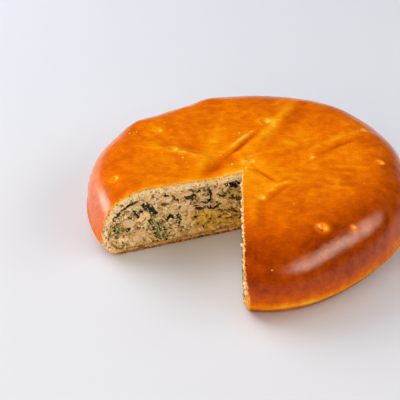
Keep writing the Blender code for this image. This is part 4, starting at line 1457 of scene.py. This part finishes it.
@dataclass
class CutLayout:
    """Where the pieces lie in the two cuts: the large ones listed one by one, small ones scattered by a
    seed.

    Attributes:
        form: the pie's form.
        clearance: room kept between the pieces and the dough.
    """

    form: PieForm
    clearance: float = 1.0 * MM

    def room_reach(self, side: Side, height: np.ndarray) -> np.ndarray:
        """How far from the tip the room reaches along a cut at a height, and 0 outside the room."""
        form = self.form
        low, high = form.base_dough, form.height - form.top_dough
        radius = form.room_radius(height, form.side_dough, low, high)
        turn = np.full(np.shape(height), side.turn)
        inside = (height > low + self.clearance) & (height < high - self.clearance - form.centre_dip)
        return np.where(inside, form.reach(turn, radius, np.array(form.tip)) - 2 * self.clearance, 0.0)

    def settle(self, side: Side, sizes: np.ndarray, places: np.ndarray) -> np.ndarray:
        """Moves pieces that would meet the dough towards the middle of the cut until they clear it.

        Args:
            side: the cut.
            sizes: (pieces, 2) half extents along and up.
            places: (pieces, 2) middles.
        """
        target = np.array([50, 26]) * MM
        places = places.copy()
        for _ in range(120):
            top = self.room_reach(side, places[:, 1] + sizes[:, 1])
            bottom = self.room_reach(side, places[:, 1] - sizes[:, 1])
            out = places[:, 0] + 0.8 * sizes[:, 0] > np.minimum(top, bottom)
            if not out.any():
                break
            way = target - places
            way /= np.maximum(np.linalg.norm(way, axis=1, keepdims=True), 1e-9)
            places += np.where(out[:, None], way * 0.3 * MM, 0.0)
        return places

    def table(self, side: Side, pieces: tuple[CutPiece, ...]) -> np.ndarray:
        """The listed pieces as (pieces, 5): along, up, width, thickness in metres, and tilt."""
        rows = np.array([(p.along, p.up, p.width, p.thickness, 0) for p in pieces]) * MM
        rows[:, 4] = np.radians([p.tilt for p in pieces])
        return self.cleared(side, rows)

    def scatter(self, side: Side, count: int, width: tuple[float, float], flatness: float,
                seed: int) -> np.ndarray:
        """Small pieces at random places in a cut, as rows like those of table.

        Args:
            side: the cut.
            count: number of pieces.
            width: least and greatest width in mm.
            flatness: thickness as a share of the width.
            seed: seed of the draw.
        """
        rng = np.random.default_rng(seed)
        rows = np.zeros((count, 5))
        rows[:, 0] = rng.uniform(2, 122, count) * MM
        rows[:, 1] = rng.uniform(4.5, 48.5, count) * MM
        rows[:, 2] = (width[0] + (width[1] - width[0]) * rng.random(count) ** 2) * MM
        rows[:, 3] = rows[:, 2] * flatness * rng.uniform(0.7, 1.3, count)
        rows[:, 4] = rng.uniform(-math.pi / 2, math.pi / 2, count)
        return self.cleared(side, rows)

    def scatter_strands(self, side: Side, count: int, length: tuple[float, float],
                        thickness: tuple[float, float], tones: tuple[Tone, ...],
                        seed: int) -> tuple[Strand, ...]:
        """Short bent strands at random places in a cut.

        Args:
            side: the cut.
            count: number of strands.
            length: least and greatest length in mm.
            thickness: least and greatest thickness in mm.
            tones: tones, one of which each strand takes.
            seed: seed of the draw.
        """
        rng = np.random.default_rng(seed)
        rows = self.scatter(side, count, length, 0.3, seed)
        strands = []
        for along, up, width, _, tilt in rows:
            turns = tilt + np.cumsum(rng.uniform(-0.7, 0.7, 3))
            step = width / MM / 3
            x = along / MM + np.concatenate([[0], np.cumsum(np.cos(turns))]) * step - width / MM / 2
            z = up / MM + np.concatenate([[0], np.cumsum(np.sin(turns))]) * step
            z = np.clip(z, *STRAND_HEIGHTS)
            tone = tones[rng.integers(len(tones))]
            strands.append(Strand(tone, rng.uniform(*thickness), tuple(zip(x, z))))
        return tuple(strands)

    def beside(self, strands: tuple[Strand, ...], gap: float, width: tuple[float, float],
               seed: int) -> np.ndarray:
        """Crumbs along strands, as rows like those of table: one for about each gap of a strand.

        Args:
            strands: the strands, whose places are joined by straight lines here.
            gap: distance between crumbs in mm.
            width: least and greatest width in mm.
            seed: seed of the draw.
        """
        rng = np.random.default_rng(seed)
        places = []
        for strand in strands:
            path = np.array(strand.path)
            length = np.concatenate([[0], np.cumsum(np.hypot(*np.diff(path, axis=0).T))])
            pick = rng.uniform(0, length[-1], max(1, int(length[-1] / gap)))
            middle = np.stack([np.interp(pick, length, path[:, k]) for k in range(2)], axis=-1)
            places.append(middle + rng.normal(0, 0.45 * strand.thickness + 0.4, middle.shape))
        rows = np.zeros((sum(map(len, places)), 5))
        rows[:, :2] = np.clip(np.concatenate(places), (2, 4.6), (121, 48)) * MM
        rows[:, 2] = rng.uniform(*width, len(rows)) * MM
        rows[:, 3] = rows[:, 2] * rng.uniform(0.6, 1.0, len(rows))
        rows[:, 4] = rng.uniform(-math.pi / 2, math.pi / 2, len(rows))
        return rows

    def cleared(self, side: Side, rows: np.ndarray) -> np.ndarray:
        """The same rows with their places settled clear of the dough."""
        cos, sin = np.abs(np.cos(rows[:, 4])), np.abs(np.sin(rows[:, 4]))
        wide, thick = rows[:, 2] / 2, rows[:, 3] / 2
        sizes = np.stack([wide * cos + thick * sin, wide * sin + thick * cos], axis=1)
        rows = rows.copy()
        rows[:, :2] = self.settle(side, sizes, rows[:, :2])
        return rows

    def to_pie(self, side: Side, local: np.ndarray) -> np.ndarray:
        """Turns places in a cut (along, out of it, up) into the pie's frame."""
        tip = np.array([*self.form.tip, 0.0]) - self.form.middle()
        up = np.array([0.0, 0.0, 1.0])
        return tip + local[..., :1] * side.along + local[..., 1:2] * side.normal + local[..., 2:3] * up


def ball(rows: int, columns: int) -> tuple[np.ndarray, np.ndarray]:
    """A unit ball as a grid of latitudes and longitudes, closed by points at its poles.

    Returns:
        (points, 3) places and the corner numbers of its squares; those at a pole repeat a corner.
    """
    down = np.linspace(0, math.pi, rows)[:, None]
    turn = np.linspace(0, 2 * math.pi, columns, endpoint=False)[None]
    x, y = np.sin(down) * np.cos(turn), np.sin(down) * np.sin(turn)
    z = np.broadcast_to(np.cos(down), x.shape)
    return np.stack([x, y, z], axis=-1).reshape(-1, 3), grid_quads(rows, columns, wrap=True)


@dataclass
class Lumps:
    """Rounded, knife-cut lumps in both cuts, all in one mesh: chicken or loose crumbs.

    Attributes:
        layout: where pieces lie.
        name: name of the piece.
        finish: its material.
        tints: hex colours, one of which each lump takes.
        rows: for each cut, the lumps' rows as CutLayout gives them.
        proud: how far the cut faces of the lumps stand out of the cut's plane, least and greatest.
        detail: rows and columns of points on each lump.
        depth: greatest half depth of a lump.
        seed: seed of the draw.
    """

    layout: CutLayout
    name: str
    finish: Crumb
    tints: tuple[str, ...]
    rows: dict[Side, np.ndarray]
    proud: tuple[float, float]
    detail: tuple[int, int]
    depth: float = 3.0 * MM
    seed: int = 5

    def shape(self, side: Side, rows: np.ndarray) -> tuple[np.ndarray, np.ndarray]:
        """Points of every lump of a cut: a ball squared off, made uneven, and cut flat in front.

        Each coordinate of a lump is that of a ball to the power 0.9, scaled by the lump's own noise
        of two sizes. The knife's plane keeps its front at one distance out, with a little grain. Fine
        streaks tint its fibres.
        """
        points, _ = ball(*self.detail)
        rng = np.random.default_rng(self.seed + int(side.value))
        count = len(rows)
        chunky = np.sign(points) * np.abs(points) ** 0.9
        place = points[None] * 0.9 + rng.uniform(-50, 50, (count, 1, 3))
        uneven = 1 + 0.42 * value_noise(place, 0.9, 3) + 0.26 * value_noise(place, 0.4, 4)
        body = chunky[None] * uneven[..., None]
        half = rows[:, None, 2:4] / 2
        x, z = body[..., 0] * half[..., 0], body[..., 2] * half[..., 1]
        deep = np.minimum(self.depth, half.mean(axis=-1) * 1.2)
        front = rng.uniform(*self.proud, (count, 1))
        grain = 0.16 * MM * value_noise(place * 3, 1.0, 6)
        y = np.minimum(body[..., 1] * deep, front + grain)
        tilt = rows[:, 4:5]
        along = rows[:, 0:1] + x * np.cos(tilt) - z * np.sin(tilt)
        up = rows[:, 1:2] + x * np.sin(tilt) + z * np.cos(tilt)
        tint = random_tints(self.tints, rng.random(count))[:, None]
        tint = tint * rng.uniform(0.85, 1.10, (count, 1, 1))
        fibre = value_noise(place * np.array([0.8, 1, 3.2]), 1.0, 8)
        tint = np.broadcast_to(tint, (count, len(points), 3)) * (1 + 0.22 * fibre)[..., None]
        return self.layout.to_pie(side, np.stack([along, y, up], axis=-1)), tint

    def build(self) -> bpy.types.Object:
        """Builds all the lumps and dresses them."""
        surface = Surface()
        _, quads = ball(*self.detail)
        for side, rows in self.rows.items():
            points, tint = self.shape(side, rows)
            surface.add_many(points, quads, tint)
        return surface.build(self.name, 0.0005 * MM, self.finish)


@dataclass
class Strands:
    """Thin bent pieces in both cuts, all in one mesh: the edges of leaves and mushroom slices.

    Attributes:
        layout: where pieces lie.
        name: name of the piece.
        finish: its material.
        strands: for each cut, its strands.
        depth: how far a piece runs into the filling.
        proud: how far it stands out of the cut's plane.
        steps, ring: points along a piece, and round it.
        heights: heights between which every point stays, clear of the dough.
    """

    layout: CutLayout
    name: str
    finish: Crumb
    strands: dict[Side, tuple[Strand, ...]]
    depth: float = 2.2 * MM
    proud: float = 0.7 * MM
    steps: int = 44
    ring: int = 10
    heights: tuple[float, float] = (4.2 * MM, 49.0 * MM)

    def line(self, path: tuple[tuple[float, float], ...]) -> np.ndarray:
        """(steps, 2) places on a smooth line through a path's places, a Catmull-Rom curve."""
        places = np.array(path) * MM
        places = np.concatenate([[2 * places[0] - places[1]], places, [2 * places[-1] - places[-2]]])
        u = np.linspace(0, len(path) - 1, self.steps)
        first = np.minimum(u.astype(int), len(path) - 2)
        t = (u - first)[:, None]
        a, b, c, d = (places[first + k] for k in range(4))
        squared, cubed = 2 * a - 5 * b + 4 * c - d, 3 * b - a - 3 * c + d
        return 0.5 * (2 * b + (c - a) * t + squared * t**2 + cubed * t**3)

    def shape(self, side: Side) -> tuple[np.ndarray, np.ndarray]:
        """Points of every strand of a cut, as (strands, steps x ring, 3), and their tints.

        Each strand is a flattened tube: an oval ring, thin in the cut and deep behind it, carried
        along the line, with ragged edges from noise and tapered ends.
        """
        strands = self.strands[side]
        lines = np.stack([self.line(strand.path) for strand in strands])
        thickness = np.array([strand.thickness for strand in strands])[:, None] * MM
        tones = np.array([[tint_of(c) for c in strand.tone.value] for strand in strands])
        rng = np.random.default_rng(int(side.value) + len(strands))
        way = np.gradient(lines, axis=1)
        way /= np.maximum(np.linalg.norm(way, axis=-1, keepdims=True), 1e-9)
        normal = np.stack([-way[..., 1], way[..., 0]], axis=-1)
        place = np.concatenate([lines, np.zeros(lines.shape[:2] + (1,))], axis=-1)
        waver = 0.8 * MM * value_noise(place, 2.2 * MM, 5) + 0.4 * MM * value_noise(place, 1.1 * MM, 9)
        lines = lines + normal * waver[..., None]
        t = np.linspace(-1, 1, self.steps)[None]
        taper = np.sqrt(np.maximum(1 - np.abs(t) ** 5, 0.0))
        around = np.linspace(0, 2 * math.pi, self.ring, endpoint=False)
        ragged = 1 + 0.6 * value_noise(place, 1.7 * MM, 6)
        across = np.sin(around) * (thickness * taper * ragged / 2)[..., None]
        across = across * (1 + 0.4 * rng.uniform(-1, 1, across.shape))
        front = self.proud * (0.5 + 0.5 * value_noise(place, 2.6 * MM, 7))[..., None] + 0.25 * MM
        out = np.minimum(np.cos(around) * (self.depth * taper)[..., None] - 0.3 * self.depth, front)
        along = lines[..., :1] + normal[..., :1] * across
        up = np.clip(lines[..., 1:] + normal[..., 1:] * across, *self.heights)
        edge = np.abs(np.sin(around)) ** 1.5
        inner_tone, edge_tone = tones[:, None, None, 0], tones[:, None, None, 1]
        tint = blend(inner_tone, edge_tone, np.broadcast_to(edge, across.shape))
        shade = rng.uniform(0.7, 1.3, (len(strands), 1)) * (1 + 0.35 * value_noise(place, 2 * MM, 8))
        tint = tint * shade[..., None, None]
        points = self.layout.to_pie(side, np.stack([along, out, up], axis=-1))
        return points.reshape(len(strands), -1, 3), tint.reshape(len(strands), -1, 3)

    def build(self) -> bpy.types.Object:
        """Builds all the strands and dresses them."""
        surface = Surface()
        quads = grid_quads(self.steps, self.ring, wrap=True)
        for side in self.strands:
            points, tint = self.shape(side)
            surface.add_many(points, quads, tint)
        return surface.build(self.name, 0.0005 * MM, self.finish)


@dataclass
class DoughCrumbs:
    """Tiny torn lumps over the dough's face in both cuts, which make it grainy and ragged.

    Attributes:
        crust: the crust they lie on.
        count: lumps on each cut.
        size: least and greatest width in mm.
        torn_share: share of the right cut's lumps that are larger and stand out of it.
        torn_above: height above which there are such lumps.
    """

    crust: DoughCrust
    count: int = 2250
    size: tuple[float, float] = (0.5, 1.9)
    torn_share: float = 0.09
    torn_above: float = 20 * MM

    def build(self) -> bpy.types.Object:
        """Builds the lumps, each an uneven ball tinted by how deep in the dough it lies."""
        surface = Surface()
        points, quads = ball(5, 7)
        rng = np.random.default_rng(83)
        middle = self.crust.form.middle()
        for side in Side:
            outer, inner = self.crust.ring(side)
            gap = np.linalg.norm(np.diff(outer, axis=0), axis=1)
            length = np.concatenate([[0], np.cumsum(gap)])
            pick = rng.uniform(0, length[-1], self.count)
            share = rng.random(self.count)
            at_outer, at_inner = (
                np.stack([np.interp(pick, length, edge[:, k]) for k in range(3)], axis=-1)
                for edge in (outer, inner)
            )
            size = (self.size[0] + (self.size[1] - self.size[0]) * rng.random(self.count) ** 2) * MM
            wide = np.linalg.norm(at_inner - at_outer, axis=1)
            share = np.clip(share, 0.55 * size / np.maximum(wide, 1e-6) + 0.04, 1.0)
            centre = at_outer + (at_inner - at_outer) * share[:, None]
            centre = centre + side.normal * rng.uniform(-0.45, 0.35, (self.count, 1)) * MM
            tint = self.crust.dough_tint(centre + middle, share)
            tint = tint * rng.uniform(0.82, 1.12, (self.count, 1))
            tint = np.where(rng.random((self.count, 1)) < 0.12, tint * tint_of("#C4A888"), tint)
            torn = (rng.random(self.count) < self.torn_share) & (side is Side.RIGHT)
            torn = torn & (centre[:, 2] > self.torn_above)
            size = size + np.where(torn, rng.uniform(0.3, 1.3, self.count) * MM, 0)
            centre = centre + side.normal * np.where(torn, 0.45 * size, 0)[:, None]
            tint = np.where(torn[:, None], tint_of("#FFE6B8"), tint)
            place = points[None] * 0.9 + rng.uniform(-50, 50, (self.count, 1, 3))
            uneven = 1 + 0.4 * value_noise(place, 0.8, 3)
            body = points[None] * uneven[..., None] * size[:, None, None] / 2
            body = centre[:, None] + body
            body[..., 2] = np.maximum(body[..., 2], 0.05 * MM)
            surface.add_many(body, quads, tint[:, None])
        return surface.build("dough_crumbs", 0.0005 * MM, DOUGH_CRUMB)


@dataclass(frozen=True)
class SoftLight:
    """A rectangular soft light that faces the pie.

    Attributes:
        name: its name.
        place: its middle in metres.
        size: its width and height in metres.
        power: its power in watts.
        colour: its hex colour.
        gloss_only: True if it shows only as a sheen, False if it only lights.
    """

    name: str
    place: tuple[float, float, float]
    size: tuple[float, float]
    power: float
    colour: str
    gloss_only: bool = False

    def build(self) -> bpy.types.Object:
        """Makes the light and turns it to the pie."""
        data = bpy.data.lights.new(self.name, "AREA")
        data.shape = "RECTANGLE"
        data.size, data.size_y = self.size
        data.energy = self.power
        data.color = linear(self.colour)[:3]
        light = bpy.data.objects.new(self.name, data)
        light.location = self.place
        aim = Vector((0, 0, 0.02)) - Vector(self.place)
        light.rotation_euler = aim.to_track_quat("-Z", "Y").to_euler()
        light.visible_glossy = self.gloss_only
        light.visible_diffuse = not self.gloss_only
        bpy.context.scene.collection.objects.link(light)
        return light


LIGHTS = (
    SoftLight("overhead_softbox", (-0.70, 0.55, 1.5), (2.0, 2.0), 15, "#F7F9FF"),
    SoftLight("right_softbox", (0.931, -0.190, 0.715), (2.16, 0.46), 8, "#FFFFFF"),
    SoftLight("left_softbox", (-1.25, 0.80, 0.95), (1.4, 1.2), 23, "#F7F9FF"),
    SoftLight("front_left_fill", (-0.608, -1.302, 0.60), (1.0, 1.2), 14, "#FFE9D2"),
    SoftLight("gloss_strip", (0.88, -0.40, 0.724), (1.35, 0.42), 31, "#FFE6CE", True),
    SoftLight("left_gloss_panel", (-1.37, 0.58, 0.15), (0.9, 0.42), 15, "#FFF6F0", True),
)


@dataclass
class Studio:
    """The pale table, the soft lights and the camera at the photograph's angle.

    Attributes:
        form: the pie's form, from whose own middle the camera's place is measured.
        table_colour, table_reach: colour of the table, and half its width in metres.
        room_colour, room_light: colour and strength of the light from all round.
        lens, sensor: the camera's focal length and the width of its sensor, in mm.
        camera_place: its place before the move to the origin.
        elevation: how far it looks down, in degrees.
    """

    form: PieForm
    table_colour: str = "#E4E7EC"
    table_reach: float = 6.0
    room_colour: str = "#F2F5FA"
    room_light: float = 0.03
    lens: float = 115.2
    sensor: float = 36.0
    camera_place: tuple[float, float, float] = (-40.4 * MM, -858.5 * MM, 587.2 * MM)
    elevation: float = 33.5

    def build_table(self) -> bpy.types.Object:
        """A level sheet far larger than the view, with a soft satin finish."""
        reach = self.table_reach
        mesh = bpy.data.meshes.new("table")
        corners = [(-reach, -reach, 0), (reach, -reach, 0), (reach, reach, 0), (-reach, reach, 0)]
        mesh.from_pydata(corners, [], [(0, 1, 2, 3)])
        table = bpy.data.objects.new("table", mesh)
        bpy.context.scene.collection.objects.link(table)
        material, _, shader = new_material("pale_laminate")
        shader.inputs["Base Color"].default_value = linear(self.table_colour)
        shader.inputs["Roughness"].default_value = 0.5
        mesh.materials.append(material)
        return table

    def build_room(self) -> None:
        """A dim, even light from all round, and colours shown as they are."""
        world = bpy.data.worlds.new("dim_room")
        world.use_nodes = True
        background = world.node_tree.nodes["Background"]
        background.inputs["Color"].default_value = linear(self.room_colour)
        background.inputs["Strength"].default_value = self.room_light
        bpy.context.scene.world = world
        bpy.context.scene.view_settings.view_transform = "Standard"

    def build_camera(self) -> None:
        """The camera at the photograph's place and angle."""
        data = bpy.data.cameras.new("camera")
        data.lens = self.lens
        data.sensor_width = self.sensor
        data.clip_end = 50
        camera = bpy.data.objects.new("camera", data)
        camera.location = Vector(self.camera_place) - Vector(self.form.middle())
        camera.rotation_euler = (math.radians(90 - self.elevation), 0, 0)
        bpy.context.scene.collection.objects.link(camera)
        bpy.context.scene.camera = camera

    def build(self) -> None:
        """Builds the table, lights, surroundings and camera."""
        self.build_table()
        for light in LIGHTS:
            light.build()
        self.build_room()
        self.build_camera()


def attach(piece: bpy.types.Object, node_name: str) -> None:
    """Makes a piece ride on the pie and stand for a solid, whose own mesh it hides.

    Args:
        piece: the new piece.
        node_name: the solid that it replaces.
    """
    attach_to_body(piece, "root")
    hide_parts(node_name)
    LOG.info("%s: %d points, %d faces", piece.name, len(piece.data.vertices), len(piece.data.polygons))


def filling_pieces(layout: CutLayout) -> tuple[Lumps | Strands, ...]:
    """The chicken, mushroom, spinach and crumbs of both cuts, in the order they are built."""
    chicken, leaves, mushrooms, crumbs, over = {}, {}, {}, {}, {}
    leaf_tones = (Tone.DARK_LEAF, Tone.LEAF, Tone.LEAF, Tone.LIGHT_LEAF, Tone.STEM)
    mushroom_tones = (Tone.MUSHROOM_CAP, Tone.MUSHROOM_MEAT, Tone.MUSHROOM_GILL, Tone.ONION)
    for side in Side:
        seed = int(side.value)
        chicken[side] = np.concatenate([
            layout.table(side, CHICKEN[side]),
            layout.scatter(side, 24, (2.5, 6), 0.7, seed + 1),
        ])
        leaves[side] = LEAF_STRANDS[side] + layout.scatter_strands(
            side, 26, (2.5, 7), (0.5, 1.3), leaf_tones, seed + 2)
        mushrooms[side] = MUSHROOM_STRANDS[side] + layout.scatter_strands(
            side, 18, (2.5, 7), (0.7, 1.7), mushroom_tones, seed + 3)
        loose = layout.scatter(side, 760, (0.8, 2.8), 0.8, seed + 4)
        plain = (side is Side.LEFT) & (loose[:, 0] < 52 * MM) & (loose[:, 1] < 25 * MM)
        crumbs[side] = loose[~plain | (np.arange(len(loose)) % 4 == 0)]
        placed = LEAF_STRANDS[side] + MUSHROOM_STRANDS[side]
        over[side] = layout.beside(placed, 1.5, (0.7, 1.9), seed + 5)

    return (
        Lumps(layout, "chicken_pieces", CHICKEN_MEAT, CHICKEN_TINTS, chicken,
              proud=(0.1 * MM, 0.6 * MM), detail=(20, 30)),
        Strands(layout, "mushroom_slices", MUSHROOM_MEAT, mushrooms),
        Strands(layout, "spinach_leaves", SPINACH_LEAF, leaves),
        Lumps(layout, "filling_crumbs", CREAM_CRUMB, LOOSE_TINTS, crumbs,
              proud=(-0.2 * MM, 0.8 * MM), detail=(5, 7), depth=1.2 * MM, seed=71),
        Lumps(layout, "strand_crumbs", CREAM_CRUMB, LOOSE_TINTS[:8], over,
              proud=(0.5 * MM, 1.3 * MM), detail=(5, 7), depth=1.4 * MM, seed=72),
    )


def main() -> None:
    """Builds every piece of the pie in order, then the studio."""
    logging.basicConfig(level=logging.INFO, format="%(name)s %(message)s")
    form = PieForm()
    crust = DoughCrust(form)
    for piece in (crust, SteamHoles(crust), GlazeBlisters(crust), DoughCrumbs(crust)):
        attach(piece.build(), "crust")
    for piece in (FillingCore(form), *filling_pieces(CutLayout(form))):
        attach(piece.build(), "filling")
    Studio(form).build()


if __name__ == "__main__":
    main()
